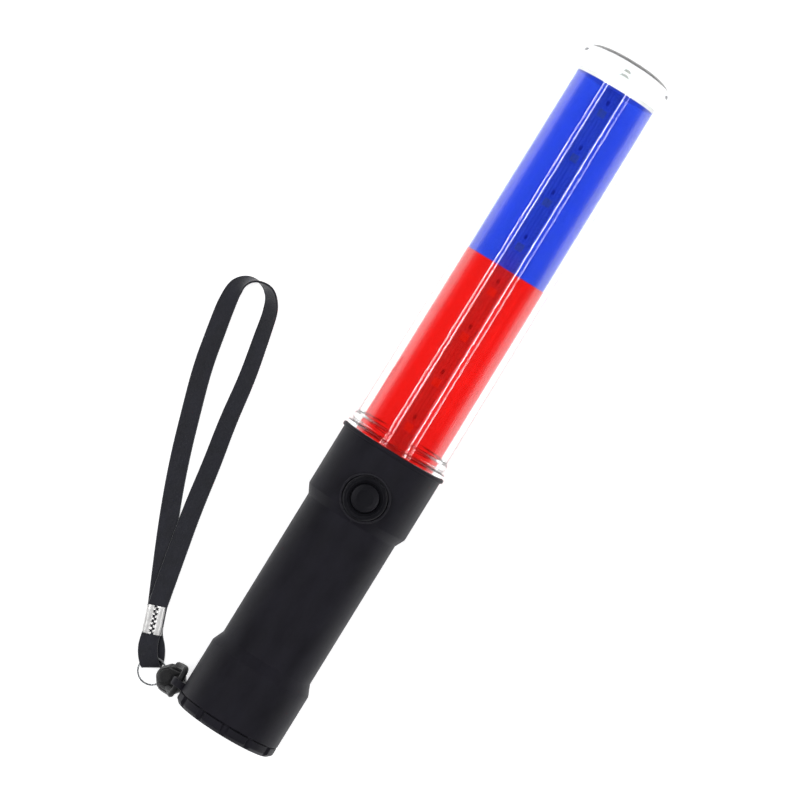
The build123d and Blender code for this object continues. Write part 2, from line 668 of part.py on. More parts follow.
# ---------------------------------------------------------------- strap
def knot_tunnel():
    """The way that the wire ring takes through the knot."""
    return Pos(place(*RING_AT)) * Torus(RING_RADIUS, RING_WIRE_RADIUS + RING_CLEARANCE)


def strap_knot():
    """Knotted tab: a lump with one bight up through the eye and a way through it for the ring."""
    half = KNOT_LENGTH / 2
    outline = [
        (-half, 0),
        (-half, 2.6),
        (-0.62 * half, 5.6),
        (-0.15 * half, KNOT_RADIUS),
        (0.4 * half, 0.95 * KNOT_RADIUS),
        (0.85 * half, 4.4),
        (half, 2.0),
        (half, 0),
    ]
    lump = Pos(place(*KNOT_AT)) * revolve(make_face(Polyline(*outline, close=True)), Axis.X)
    station, y, z = KNOT_AT
    reach = 6.2
    bight = [
        place(EYE_STATION + reach - 1.5, y + 0.6, z + 2),
        place(EYE_STATION + reach, y - 2.4, z + 10),
        place(EYE_STATION + reach, EYE_HOLE_Y, 0),
        place(EYE_STATION - reach, EYE_HOLE_Y, 0),
        place(EYE_STATION - reach, y - 2.4, z + 10),
        place(EYE_STATION - reach + 1.5, y + 0.6, z + 2),
    ]
    return lump - knot_tunnel() + round_cord(bight, TETHER_RADIUS, "tether")


def strap_ring():
    return Pos(place(*RING_AT)) * Torus(RING_RADIUS, RING_WIRE_RADIUS)


def crimp_frame():
    """Plane at the crimp's middle, its X along the strap."""
    near, far = place(*CRIMP_NEAR), place(*CRIMP_FAR)
    middle = (near + far) / 2 + Vector(0, 0, (LOWER_RIBBON + UPPER_RIBBON) / 2)
    return Plane(origin=middle, x_dir=far - near, z_dir=(0, 0, 1))


def crimp_block():
    """The crimp's outside, as a plain block."""
    return crimp_frame() * Box(CRIMP_LENGTH, CRIMP_WIDTH, CRIMP_SLOT + 2 * CRIMP_WALL)


def strap_crimp():
    """Metal sleeve pressed round the two layers of ribbon."""
    return crimp_block() - crimp_frame() * Box(CRIMP_LENGTH + 1, RIBBON_WIDTH + 0.1, CRIMP_SLOT)


def short_loop():
    """Short end of the ribbon: two layers out of the crimp, folded round the ring's wire."""
    near, centre = place(*CRIMP_NEAR), place(*RING_AT[:2])
    middle_height = Vector(0, 0, (LOWER_RIBBON + UPPER_RIBBON) / 2)
    frame = Plane(origin=near + middle_height, x_dir=centre - near, z_dir=(0, 0, 1))
    thick = RIBBON_THICKNESS / 2
    half = UPPER_RIBBON - LOWER_RIBBON
    low = -half / 2
    high = low + RING_GAP + RIBBON_THICKNESS
    nose = (high - low) / 2 + thick
    straight = SHORT_LOOP_LENGTH - nose
    upper = [(-2.0, half / 2), (0.6, half / 2), (4.5, high), (straight, high)]
    lower = [(-2.0, low), (straight, low)]
    top = [(x, z + thick) for x, z in upper]
    bottom = [(x, z - thick) for x, z in lower]
    inner_top = [(x, z - thick) for x, z in upper]
    inner_low = [(x, z + thick) for x, z in lower]
    lift = (high + low) / 2
    line = Polyline(*top) + ThreePointArc(top[-1], (SHORT_LOOP_LENGTH, lift), bottom[-1])
    line += Polyline(bottom[-1], bottom[0], inner_low[0], inner_low[-1])
    line += ThreePointArc(inner_low[-1], (SHORT_LOOP_LENGTH - RIBBON_THICKNESS, lift), inner_top[-1])
    line += Polyline(*reversed(inner_top)) + Line(inner_top[0], top[0])
    band = extrude(Plane.XZ * make_face(line), RIBBON_WIDTH / 2, both=True)
    stub = Box(CRIMP_LENGTH / 2, RIBBON_WIDTH, CRIMP_SLOT - LAYER_GAP)
    return frame * band - crimp_block() + crimp_frame() * Pos(-CRIMP_LENGTH / 4, 0, 0) * stub


def wrist_loop():
    """Long ribbon loop from the crimp, round the wrist and back to the crimp."""
    rise = UPPER_RIBBON - LOWER_RIBBON
    points = [place(station, COLLAR_RADIUS + out, LOWER_RIBBON + rise * layer)
              for station, out, layer in WRIST_LOOP]
    path = smooth_path(points, "wrist_loop")
    section = Plane(origin=path @ 0, x_dir=(path % 0).cross(Vector(0, 0, 1)), z_dir=path % 0)
    ribbon = sweep(section * Rectangle(RIBBON_WIDTH, RIBBON_THICKNESS), path=path)
    print("wrist_loop length", round(path.length, 1), "volume share",
          round(ribbon.volume / (path.length * RIBBON_WIDTH * RIBBON_THICKNESS), 4))
    return ribbon - crimp_block()


# ---------------------------------------------------------------- wires held inside the handle
def wires():
    radius = 0.55
    head = CONTACT_DISC_END + 0.6
    face = BOARD_THICKNESS / 2
    under = SWITCH_BOARD_BOTTOM
    strip_end = CONTACT_DISC_END + 3
    strip_z = -BATTERY_TUBE_RADIUS - 0.3
    return {
        "wire_positive": round_cord([
            place(head, 0.5, 0), place(head + 3.4, 0.5, 0), place(head + 5.0, 2.2, 3.6),
            place(head + 3.2, 3.8, 7.0), place(head + 3.2, 3.8, under)], radius, "wire_positive"),
        "wire_led": round_cord([
            place(SWITCH_BOARD_START + 9, 3, under), place(SWITCH_BOARD_START + 9, 3, 7.6),
            place(SWITCH_BOARD_START + 11.4, 2.6, 4.8), place(BOARD_START + 1.9, 2.2, 3.8),
            place(BOARD_START + 1.9, 2.2, face)], radius, "wire_led"),
        "wire_return": round_cord([
            place(strip_end - 1.2, 0, strip_z), place(strip_end - 1.2, 0, -12.0),
            place(strip_end + 1.6, 0.6, -8.6), place(BOARD_START + 1.9, 0, -5.2),
            place(BOARD_START + 1.9, 0, -face)], radius, "wire_return"),
    }


# ---------------------------------------------------------------- write one file for each piece
def pieces():
    shapes = {
        "handle_shell": handle_shell(),
        "lens_tube": lens_tube(),
        "film_red": film(FILM_START, FILM_JOINT),
        "film_blue": film(FILM_JOINT, FILM_END),
        "tip_disc": ring(FILM_END, FILM_END + TIP_DISC_THICKNESS, 0, bore_radius(FILM_END) - DISC_CLEARANCE),
        "tip_led": tip_led(),
        "led_board": led_board(),
        "leds_red": leds(LIP_END, FILM_JOINT),
        "leds_blue": leds(FILM_JOINT, FILM_END),
        "resistors": resistors(),
        "board_bulkhead": board_bulkhead(),
        "tube_gasket": gasket_shape(0.0),
        "tube_screws": Compound(tube_screw_shapes()),
        "button_bezel": button_bezel(),
        "button_cap": button_cap(),
        "switch_board": switch_board(),
        "switch_body": switch_body(),
        "switch_stem": switch_stem(),
        "switch_screws": switch_screws(),
        "control_chip": control_chip(),
        "battery_tube": battery_tube(),
        "cell_rear": cell(CELL_START),
        "cell_front": cell(CELL_START + CELL_LENGTH),
        "contact_disc": contact_disc(),
        "positive_contact": positive_contact(),
        "return_strip": return_strip(),
        "butt_cap": butt_cap(),
        "cap_contact": cap_contact(),
        "battery_spring": battery_spring(),
        "cap_seal": seal_shape(0.0),
        "strap_knot": strap_knot(),
        "strap_ring": strap_ring(),
        "strap_crimp": strap_crimp(),
        "short_loop": short_loop(),
        "wrist_loop": wrist_loop(),
    }
    shapes.update(wires())
    return shapes


os.makedirs("parts", exist_ok=True)
for name, shape in pieces().items():
    export_step(shape, f"parts/{name}.step")
    print(name, round(shape.volume, 1))
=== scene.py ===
# %% [markdown]
# # A traffic baton, dressed in Blender
# The baton is a hand lamp for directing traffic: a clear tube over a red and a blue film, on a black
# moulded handle with a push button, a screw cap at the butt and a ribbon loop for the wrist.
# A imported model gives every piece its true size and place. This notebook keeps the pieces whose shape is
# already right and builds finer ones for the rest. Blender works in metres.

# %% Load the measured model
import bmesh
import bpy
import math
import numpy as np
from mathutils import Matrix, Vector


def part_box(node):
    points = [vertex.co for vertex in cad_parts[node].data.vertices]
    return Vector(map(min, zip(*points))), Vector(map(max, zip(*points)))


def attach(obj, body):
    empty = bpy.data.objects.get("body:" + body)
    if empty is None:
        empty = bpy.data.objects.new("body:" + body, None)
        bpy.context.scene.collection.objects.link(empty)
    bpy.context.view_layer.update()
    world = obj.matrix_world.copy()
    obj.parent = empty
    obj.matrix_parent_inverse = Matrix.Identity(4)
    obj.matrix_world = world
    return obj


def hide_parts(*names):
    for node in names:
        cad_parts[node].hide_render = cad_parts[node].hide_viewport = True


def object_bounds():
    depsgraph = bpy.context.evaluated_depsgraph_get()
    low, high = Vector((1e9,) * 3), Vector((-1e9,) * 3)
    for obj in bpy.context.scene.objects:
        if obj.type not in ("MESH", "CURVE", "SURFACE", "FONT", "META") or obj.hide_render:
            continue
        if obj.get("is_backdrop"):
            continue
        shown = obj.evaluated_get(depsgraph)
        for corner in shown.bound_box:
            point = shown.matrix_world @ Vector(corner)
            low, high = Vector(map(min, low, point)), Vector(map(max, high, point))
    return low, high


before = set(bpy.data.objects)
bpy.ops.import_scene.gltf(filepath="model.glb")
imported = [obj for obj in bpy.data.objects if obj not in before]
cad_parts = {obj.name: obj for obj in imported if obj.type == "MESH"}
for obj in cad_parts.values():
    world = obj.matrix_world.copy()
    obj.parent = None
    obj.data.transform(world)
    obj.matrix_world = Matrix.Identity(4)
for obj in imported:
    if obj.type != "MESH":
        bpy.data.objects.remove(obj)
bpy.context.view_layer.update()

MM = 0.001
scene = bpy.context.scene


def added(name, data):
    """A new object in the scene."""
    made = bpy.data.objects.new(name, data)
    scene.collection.objects.link(made)
    return made


# %% [markdown]
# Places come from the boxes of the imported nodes, so nothing has to be measured twice. The baton's axis is
# the X axis, the button looks up along +Z, and the table is the plane under the handle's lip. A station
# is a place along the axis in millimetres from the butt.

# %% Places that many pieces need
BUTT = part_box("butt_cap")[0].x
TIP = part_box("lens_tube")[1].x
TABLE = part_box("handle_shell")[0].z
print("length", round(TIP - BUTT, 4), "table at", round(TABLE, 4))

# %% [markdown]
# ## The camera
# A long lens high above the table leaves little perspective, and a small lean towards the tip shows the
# dome's edge as a thin crescent. The lens is aimed, not shifted, so that other views stay centred.

# %% Camera
CAMERA_AT = Vector((0.1243, 0.0053, 1.526))
CAMERA_AIM = Vector((0.0867, 0.0090, 0.0))
CAMERA_TURN = math.radians(-58.40)
LENS = 165.3

camera = added("camera", bpy.data.cameras.new("camera"))
camera.data.lens = LENS
camera.data.sensor_width = 36.0
camera.data.clip_start = 0.05
camera.data.clip_end = 20.0
backward = (CAMERA_AT - CAMERA_AIM).normalized()
upward = Matrix.Rotation(CAMERA_TURN, 3, "Z") @ Vector((0, 1, 0))
rightward = upward.cross(backward).normalized()
upward = backward.cross(rightward)
turn = Matrix((rightward, upward, backward)).transposed()
camera.matrix_world = Matrix.Translation(CAMERA_AT) @ turn.to_4x4()
scene.camera = camera
print("camera lens", LENS)

# %% [markdown]
# ## Materials
# Each finish is a small node tree on one Principled shader. One helper turns an sRGB hex colour to
# linear light, and one adds a node with its settings and its links. The rest are built on these two.

# %% Helpers for node trees
def colour(code):
    """Linear RGBA of an sRGB hex colour such as #1b1b1d."""
    parts = [int(code[index:index + 2], 16) / 255 for index in (1, 3, 5)]
    linear = [part / 12.92 if part <= 0.04045 else ((part + 0.055) / 1.055) ** 2.4 for part in parts]
    return (*linear, 1.0)


def node(tree, kind, inputs=None, **settings):
    """Adds a node; a shader node goes without its prefix. An input takes a value or a socket."""
    made = tree.nodes.new(kind if "Node" in kind else "ShaderNode" + kind)
    for setting, value in settings.items():
        setattr(made, setting, value)
    for key, value in (inputs or {}).items():
        if isinstance(value, bpy.types.NodeSocket):
            tree.links.new(value, made.inputs[key])
        else:
            made.inputs[key].default_value = value
    return made


def new_material(name, **sockets):
    """A material with one Principled shader, its sockets given as base_color, roughness and so on."""
    material = bpy.data.materials.new(name)
    material.use_nodes = True
    material.node_tree.nodes.clear()
    inputs = {}
    for key, value in sockets.items():
        inputs[key.replace("_", " ").title().replace("Ior", "IOR")] = value
    shader = node(material.node_tree, "BsdfPrincipled", inputs)
    node(material.node_tree, "OutputMaterial", {"Surface": shader.outputs[0]})
    return material, material.node_tree, shader


def mixed_surface(tree, factor, first, second):
    """Puts a mix of two shaders on the material's surface."""
    mixed = node(tree, "MixShader", {0: factor, 1: first.outputs[0], 2: second.outputs[0]})
    output = next(each for each in tree.nodes if each.bl_idname == "ShaderNodeOutputMaterial")
    tree.links.new(mixed.outputs[0], output.inputs["Surface"])


def object_noise(tree, size, detail=4.0, stretch=(1, 1, 1)):
    """Noise on Object coordinates whose blobs are about size metres, less along a stretched axis."""
    place = node(tree, "TexCoord").outputs["Object"]
    scaled = node(tree, "Mapping", {"Vector": place, "Scale": stretch}).outputs["Vector"]
    noise = node(tree, "TexNoise", {"Vector": scaled, "Scale": 1 / size, "Detail": detail})
    return noise.outputs["Fac"]


def shine(tree, shader, factor, low, high):
    """Roughness that runs from low to high as the factor runs from 0.3 to 0.7."""
    run = node(tree, "MapRange", {
        "Value": factor, "From Min": 0.3, "From Max": 0.7, "To Min": low, "To Max": high})
    tree.links.new(run.outputs["Result"], shader.inputs["Roughness"])


def blended(tree, factor, first, second):
    """A colour between two hex colours."""
    ramp = node(tree, "ValToRGB", {"Fac": factor})
    ramp.color_ramp.elements[0].position = 0.35
    ramp.color_ramp.elements[0].color = colour(first)
    ramp.color_ramp.elements[1].position = 0.65
    ramp.color_ramp.elements[1].color = colour(second)
    return ramp.outputs["Color"]


def paint(tree, shader, factor, first, second):
    """Base colour between two hex colours."""
    tree.links.new(blended(tree, factor, first, second), shader.inputs["Base Color"])


def bumped(tree, shader, height, depth, before=None):
    """Adds a bump of that depth in metres to a shader's normal, after an earlier one if given."""
    inputs = {"Height": height, "Distance": depth, "Strength": 1.0}
    if before is not None:
        inputs["Normal"] = before
    bump = node(tree, "Bump", inputs)
    tree.links.new(bump.outputs["Normal"], shader.inputs["Normal"])
    return bump.outputs["Normal"]


finishes = {}

# %% [markdown]
# Moulded black ABS. The spark-eroded mould gives a fine, even grain and a satin shine. Thick walls that
# shrank leave faint, broad swells, and hands have rubbed the edges a little paler.

# %% Black ABS of the handle and the cap, and the smoother black of the button
def black_abs(name, dark, pale, rough, grain_depth):
    material, tree, shader = new_material(
        name, ior=1.53, specular_ior_level=0.34, specular_tint=colour("#9c9ba2"))
    grain = object_noise(tree, 0.35 * MM, 3.0)
    cloud = object_noise(tree, 9 * MM, 3.0, (0.5, 1, 1))
    wear = node(tree, "NewGeometry").outputs["Pointiness"]
    rubbed = node(tree, "MapRange", {
        "Value": wear, "From Min": 0.52, "From Max": 0.6, "To Min": 0.0, "To Max": 0.35}).outputs["Result"]
    body = blended(tree, cloud, dark, pale)
    worn = node(tree, "Mix", {0: rubbed, 6: body, 7: colour("#3a3a3d")}, data_type="RGBA")
    tree.links.new(worn.outputs[2], shader.inputs["Base Color"])
    shine(tree, shader, cloud, rough - 0.05, rough + 0.06)
    swell = bumped(tree, shader, cloud, 0.12 * MM)
    bumped(tree, shader, grain, grain_depth, swell)
    return material


finishes["handle"] = black_abs("spark_eroded_black_ABS", "#17161c", "#201f26", 0.56, 0.035 * MM)
finishes["button"] = black_abs("polished_black_ABS", "#0f0f13", "#16161a", 0.36, 0.012 * MM)
print("made", finishes["handle"].name, "and", finishes["button"].name)

# %% [markdown]
# Clear polycarbonate. Its IOR of 1.58 draws dark and bright lines along the tube's sides. Light has to
# reach the films inside, so a ray on its way to a lamp passes straight through: a mix on Is Shadow Ray
# is the usual way to light what stands behind clear plastic.

# %% Clear polycarbonate
def clear_plastic(name, tint, rough):
    material, tree, shader = new_material(
        name, base_color=colour(tint), ior=1.58, specular_ior_level=0.7, specular_tint=colour("#e4e4e6"),
        roughness=rough, transmission_weight=1.0)
    ripple = object_noise(tree, 2.2 * MM, 1.0, (0.7, 1, 1))
    bumped(tree, shader, ripple, 0.003 * MM)
    to_lamp = node(tree, "LightPath").outputs["Is Shadow Ray"]
    passing = node(tree, "BsdfTransparent", {"Color": colour(tint)})
    mixed_surface(tree, to_lamp, shader, passing)
    return material


finishes["clear"] = clear_plastic("clear_moulded_polycarbonate", "#fcfdfd", 0.0)
finishes["lamp"] = clear_plastic("clear_cast_epoxy", "#f4f6f2", 0.05)

# %% [markdown]
# Dyed PET film. A dye filters the light that passes, so most of the film is a tinted Transparent shader.
# A smaller share is a glossy body of the same colour, which gives the shine and looks a little milky.

# %% Red and blue film
BODY_SHARE = 0.17


def dyed_film(name, filter_code, body_code, deeper_code):
    material, tree, shader = new_material(name, roughness=0.12, ior=1.57, specular_ior_level=0.28)
    streaks = object_noise(tree, 2.2 * MM, 3.0, (0.02, 1, 1))
    paint(tree, shader, streaks, body_code, deeper_code)
    shine(tree, shader, streaks, 0.09, 0.15)
    passing = node(tree, "BsdfTransparent", {"Color": colour(filter_code)})
    mixed_surface(tree, BODY_SHARE, passing, shader)
    return material


finishes["red"] = dyed_film("dyed_red_PET_film", "#fe9e99", "#f41812", "#d1140f")
finishes["blue"] = dyed_film("dyed_blue_PET_film", "#b4cafa", "#1c38ea", "#1830c9")

# %% [markdown]
# Plain plastics, rubber and insulation differ in colour, shine and grain, so one function makes all.

# %% Plastics, rubber and insulation
def plain_plastic(name, first, second, rough, grain=0.5 * MM, depth=0.02 * MM, ior=1.5):
    material, tree, shader = new_material(name, ior=ior)
    cloud = object_noise(tree, 5 * MM)
    fine = object_noise(tree, grain, 2.0)
    paint(tree, shader, cloud, first, second)
    shine(tree, shader, fine, rough - 0.06, rough + 0.06)
    bumped(tree, shader, fine, depth)
    return material


finishes["white"] = plain_plastic("white_moulded_polystyrene", "#dcdcd8", "#e6e6e3", 0.42)
finishes["rubber"] = plain_plastic("moulded_nitrile_rubber", "#161616", "#1e1e1f", 0.62, 0.3 * MM)
finishes["epoxy"] = plain_plastic("black_moulded_epoxy", "#17181a", "#202124", 0.5, 0.25 * MM)
finishes["wire_red"] = plain_plastic("red_PVC_insulation", "#a8100e", "#b81714", 0.36, 0.8 * MM, 0.01 * MM)
finishes["wire_black"] = plain_plastic(
    "black_PVC_insulation", "#141414", "#1b1b1b", 0.36, 0.8 * MM, 0.01 * MM)

# %% [markdown]
# Metals take their look from colour, roughness and how they were made: drawn wire and rolled strip have
# long scratches, and plating leaves a soft, cloudy shine. The crimp's pale, partly diffuse colour is in part
# a painted reflection.

# %% Metals
def plated_metal(name, first, second, rough, scratch=(0.06, 1, 1), metallic=1.0, depth=0.008 * MM):
    material, tree, shader = new_material(name, metallic=metallic)
    cloud = object_noise(tree, 2.5 * MM)
    drawn = object_noise(tree, 0.22 * MM, 4.0, scratch)
    paint(tree, shader, cloud, first, second)
    shine(tree, shader, drawn, rough - 0.07, rough + 0.1)
    bumped(tree, shader, drawn, depth)
    return material


finishes["zinc"] = plated_metal("zinc_plated_steel", "#9fa1a3", "#b4b6b8", 0.3)
finishes["nickel"] = plated_metal("nickel_plated_strip", "#b5afa4", "#c9c4ba", 0.24)
# The crimp is nickel plated, but it is only 0.6 metallic over a near-white colour. Its white diffuse share is
# a painted reflection that stands in for the bright room a plated metal would mirror.
finishes["crimp"] = plated_metal(
    "nickel_on_pressed_steel_with_painted_reflection", "#e6e5e4", "#f4f3f2", 0.42, (0.3, 0.3, 1), 0.6, 0.002 * MM)
finishes["brass"] = plated_metal("rolled_brass", "#c3993f", "#d6ad55", 0.28)

# %% [markdown]
# The cells have a steel can under a plain two-tone jacket: a dark sleeve, and a pale band at the end
# with the nub. The band's place is read from Object coordinates along the axis.

# %% Cell jacket
def cell_jacket(name, cell_node):
    material, tree, shader = new_material(name, metallic=0.55, coat_weight=0.4, coat_roughness=0.12)
    low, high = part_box(cell_node)
    along = node(tree, "SeparateXYZ", {0: node(tree, "TexCoord").outputs["Object"]})
    band = node(tree, "MapRange", {
        "Value": along.outputs["X"], "From Min": high.x - 13 * MM, "From Max": high.x - 12.7 * MM})
    sleeve = node(tree, "Mix", {
        0: band.outputs["Result"], 6: colour("#24282c"), 7: colour("#b9bcbf")}, data_type="RGBA")
    brushed = object_noise(tree, 0.4 * MM, 3.0, (1, 0.05, 0.05))
    tree.links.new(sleeve.outputs[2], shader.inputs["Base Color"])
    shine(tree, shader, brushed, 0.25, 0.4)
    return material


finishes["cell_rear"] = cell_jacket("printed_metal_jacket_rear", "cell_rear")
finishes["cell_front"] = cell_jacket("printed_metal_jacket_front", "cell_front")

# %% [markdown]
# The circuit boards are glass fibre under a white solder mask. The copper under the mask shows as raised,
# darker tracks, which a Brick texture draws well enough at this size.

# %% Solder mask
def solder_mask(name):
    material, tree, shader = new_material(name, ior=1.5, coat_weight=0.3, coat_roughness=0.2)
    place = node(tree, "TexCoord").outputs["Object"]
    tracks = node(tree, "TexBrick", {
        "Vector": place, "Color1": colour("#8f928f"), "Color2": colour("#989b97"),
        "Mortar": colour("#7c807c"), "Scale": 1.0, "Mortar Size": 0.18 * MM,
        "Brick Width": 7.3 * MM, "Row Height": 1.6 * MM})
    weave = object_noise(tree, 0.3 * MM, 2.0)
    tree.links.new(tracks.outputs["Color"], shader.inputs["Base Color"])
    shine(tree, shader, weave, 0.32, 0.45)
    bumped(tree, shader, tracks.outputs["Fac"], 0.03 * MM)
    return material


finishes["board"] = solder_mask("white_solder_mask_on_glass_fibre")
finishes["led"] = plain_plastic("white_LED_package", "#8e8f8c", "#989995", 0.4, 0.3 * MM)
finishes["phosphor"] = plain_plastic(
    "phosphor_in_silicone", "#b0a050", "#bdae5e", 0.25, 0.2 * MM, 0.01 * MM, 1.41)

# %% [markdown]
# Woven polyester. The weave follows the ribbon, so its pattern reads the piece's own UV map, in metres
# across and along. Real threads are about 0.25 mm apart; they are drawn 0.5 mm apart, so that the rib
# still shows at arm's length. Sheen gives the soft edge of cloth.

# %% Woven ribbon
def worked(tree, sum_kind, *values):
    """The output of a Math node on those values."""
    return node(tree, "Math", dict(enumerate(values)), operation=sum_kind).outputs[0]


def woven(name, dark, pale, thread):
    material, tree, shader = new_material(name, ior=1.5, sheen_weight=0.35, sheen_roughness=0.4)
    threads = node(tree, "UVMap", uv_map="weave").outputs["UV"]
    apart = node(tree, "SeparateXYZ", {0: threads})
    ribs = []
    for axis in ("X", "Y"):
        phase = worked(tree, "MULTIPLY", apart.outputs[axis], math.tau / thread)
        ribs.append(worked(tree, "SINE", phase))
    over = worked(tree, "MULTIPLY", *ribs)
    fuzz = object_noise(tree, 0.4 * MM)
    cloud = object_noise(tree, 6 * MM)
    height = worked(tree, "MULTIPLY_ADD", over, 0.25, fuzz)
    paint(tree, shader, cloud, dark, pale)
    shine(tree, shader, fuzz, 0.6, 0.8)
    bumped(tree, shader, height, 0.09 * MM)
    return material


finishes["ribbon"] = woven("woven_polyester_ribbon", "#14151f", "#1b1c28", 0.5 * MM)
finishes["tab"] = woven("woven_polyester_tab", "#121214", "#19191b", 0.6 * MM)
print(len(finishes), "finishes")

# %% [markdown]
# ## The wrist loop
# The loop is one flat ribbon, about 300 mm from the crimp round to the crimp again. It lies flat on its
# way out, stands on its edge in the far bend, and comes back leaning, so it makes half a turn. Its route
# is a smooth NURBS line whose points also say how far the ribbon has rolled. Where it leans, the line is
# higher by half the ribbon's width.

# %% Route of the wrist loop: X, Y, Z and roll in degrees
RIBBON_WIDTH = 8.4 * MM
RIBBON_THICKNESS = 0.9 * MM

LOOP_ROUTE = [
    (-0.04255, 0.0504, -0.02310, 0),
    (-0.02255, 0.0596, -0.02340, 0),
    (-0.00185, 0.0685, -0.02340, 0),
    (0.01715, 0.0757, -0.02330, 2),
    (0.03565, 0.0816, -0.02320, 4),
    (0.05415, 0.0873, -0.02310, 5),
    (0.07115, 0.0906, -0.02300, 8),
    (0.08215, 0.0927, -0.02270, 14),
    (0.09165, 0.0933, -0.02160, 34),
    (0.09755, 0.0881, -0.02000, 80),
    (0.09735, 0.0801, -0.02000, 118),
    (0.09115, 0.0753, -0.02110, 138),
    (0.07865, 0.0727, -0.02150, 146),
    (0.06015, 0.0687, -0.02180, 152),
    (0.04065, 0.0663, -0.02210, 158),
    (0.02115, 0.0625, -0.02230, 164),
    (0.00215, 0.0597, -0.02230, 170),
    (-0.02005, 0.0552, -0.02210, 176),
    (-0.04255, 0.0505, -0.02190, 180),
]


def settled_mesh(thing):
    """A plain mesh of what a curve or a piece with modifiers shows."""
    return bpy.data.meshes.new_from_object(thing.evaluated_get(bpy.context.evaluated_depsgraph_get()))


def nurbs_line(name, points):
    """Points along a smooth NURBS line, as Blender draws it."""
    curve = bpy.data.curves.new(name, "CURVE")
    curve.dimensions = "3D"
    curve.resolution_u = 14
    spline = curve.splines.new("NURBS")
    spline.points.add(len(points) - 1)
    for point, place in zip(spline.points, points):
        point.co = (*place, 1.0)
    spline.order_u = 3
    spline.use_endpoint_u = True
    carrier = added(name, curve)
    mesh = settled_mesh(carrier)
    line = [vertex.co.copy() for vertex in mesh.vertices]
    bpy.data.objects.remove(carrier)
    bpy.data.meshes.remove(mesh)
    return line


def length_of(line):
    return sum((after - before).length for before, after in zip(line, line[1:]))


loop_line = nurbs_line("wrist_loop_route", [entry[:3] for entry in LOOP_ROUTE])
print("wrist loop", round(length_of(loop_line), 4), "m")

# %% [markdown]
# Most meshes here are rings of points, so one helper lists the faces between rings. Another makes the
# object, turns its faces outwards, marks sharp edges and gives it its finish. Its place is in its mesh, so
# the object stays at the origin.

# %% Helpers that make a piece
def ring_faces(rings, count, closed=True):
    """Faces between rings of count points, and over the first and the last ring if closed."""
    faces = []
    for row in range(rings - 1):
        for step in range(count):
            turn = (step + 1) % count
            low, high = row * count, (row + 1) * count
            faces.append((low + step, low + turn, high + turn, high + step))
    if closed:
        faces += [tuple(range(count - 1, -1, -1)), tuple(range((rings - 1) * count, rings * count))]
    return faces


def make_piece(name, vertices, faces, finish, sharp=40):
    mesh = bpy.data.meshes.new(name)
    mesh.from_pydata([tuple(vertex) for vertex in vertices], [], faces)
    shape = bmesh.new()
    shape.from_mesh(mesh)
    bmesh.ops.remove_doubles(shape, verts=shape.verts, dist=1e-7)
    bmesh.ops.dissolve_degenerate(shape, dist=1e-8, edges=shape.edges)
    bmesh.ops.recalc_face_normals(shape, faces=shape.faces)
    shape.to_mesh(mesh)
    shape.free()
    mesh.shade_smooth()
    mesh.set_sharp_from_angle(angle=math.radians(sharp))
    mesh.materials.append(finishes[finish])
    print(name, len(mesh.polygons), "faces")
    return added(name, mesh)


def settle(piece):
    """Makes what a piece's modifiers show its own plain mesh."""
    done = settled_mesh(piece)
    piece.modifiers.clear()
    piece.data = done


def hand_over(piece, body, slot, *nodes):
    """A finished piece rides on its body and stands for its nodes, which it hides. slot is not used."""
    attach(piece, body)
    if nodes:
        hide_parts(*nodes)
    return piece


# %% [markdown]
# A ribbon is a flat section carried along a line. The section has rounded, slightly thicker edges, as a
# woven selvedge has. At each point the ribbon's side direction is level, turned by the roll there.

# %% Helper that carries a ribbon along a line
def ribbon_section(width, thickness):
    """Outline of a ribbon: places across and up, from one selvedge round to it again."""
    half = width / 2
    across = [-half, -half * 0.94, -half * 0.8, -half * 0.4, 0.0, half * 0.4, half * 0.8, half * 0.94, half]
    rise = [0.0, 0.5, 0.42, 0.4, 0.4, 0.4, 0.42, 0.5, 0.0]
    upper = [(place, share * thickness) for place, share in zip(across, rise)]
    lower = [(place, -share * thickness) for place, share in zip(across, rise)]
    return upper + lower[-2:0:-1]


def weave_map(piece, across, along):
    """A UV map in metres, from each ring point's place across and each ring's place along."""
    weave = piece.data.uv_layers.new(name="weave")
    for loop in piece.data.loops:
        row, step = divmod(loop.vertex_index, len(across))
        weave.data[loop.index].uv = (across[step], along[row])


def ribbon_piece(name, line, rolls, width, thickness, finish, level=None):
    """A ribbon along a line. level, if given, is every point's side direction before its roll."""
    section = ribbon_section(width, thickness)
    vertices, distances = [], []
    travelled = 0.0
    for index, place in enumerate(line):
        before, after = line[max(index - 1, 0)], line[min(index + 1, len(line) - 1)]
        ahead = (after - before).normalized()
        side = (level or Vector((0, 0, 1)).cross(ahead)).normalized()
        side = Matrix.Rotation(math.radians(-rolls[index]), 3, ahead) @ side
        above = ahead.cross(side).normalized()
        if index:
            travelled += (place - line[index - 1]).length
        vertices += [place + side * across + above * up for across, up in section]
        distances.append(travelled)
    piece = make_piece(name, vertices, ring_faces(len(line), len(section)), finish, 60)
    weave_map(piece, [across for across, up in section], distances)
    return piece


# %% Build the wrist loop
def rolls_along(line, route):
    """Roll at each point of the line, from the rolls at the route's points."""
    def shares(points):
        steps = [0.0] + [(after - before).length for before, after in zip(points, points[1:])]
        return np.cumsum(steps) / sum(steps)
    corners = [Vector(entry[:3]) for entry in route]
    return np.interp(shares(line), shares(corners), [entry[3] for entry in route])


loop = ribbon_piece("wrist_ribbon", loop_line, rolls_along(loop_line, LOOP_ROUTE),
                    RIBBON_WIDTH, RIBBON_THICKNESS, "ribbon")
hand_over(loop, "baton", "webbing", "wrist_loop")

# %% [markdown]
# ## Turned shapes
# Most of the baton is round. A turned shape is an outline of places along the axis and radii, carried
# round it. Its corners get a small arc first, because a moulded edge always has a radius, and that
# radius is what catches the light.

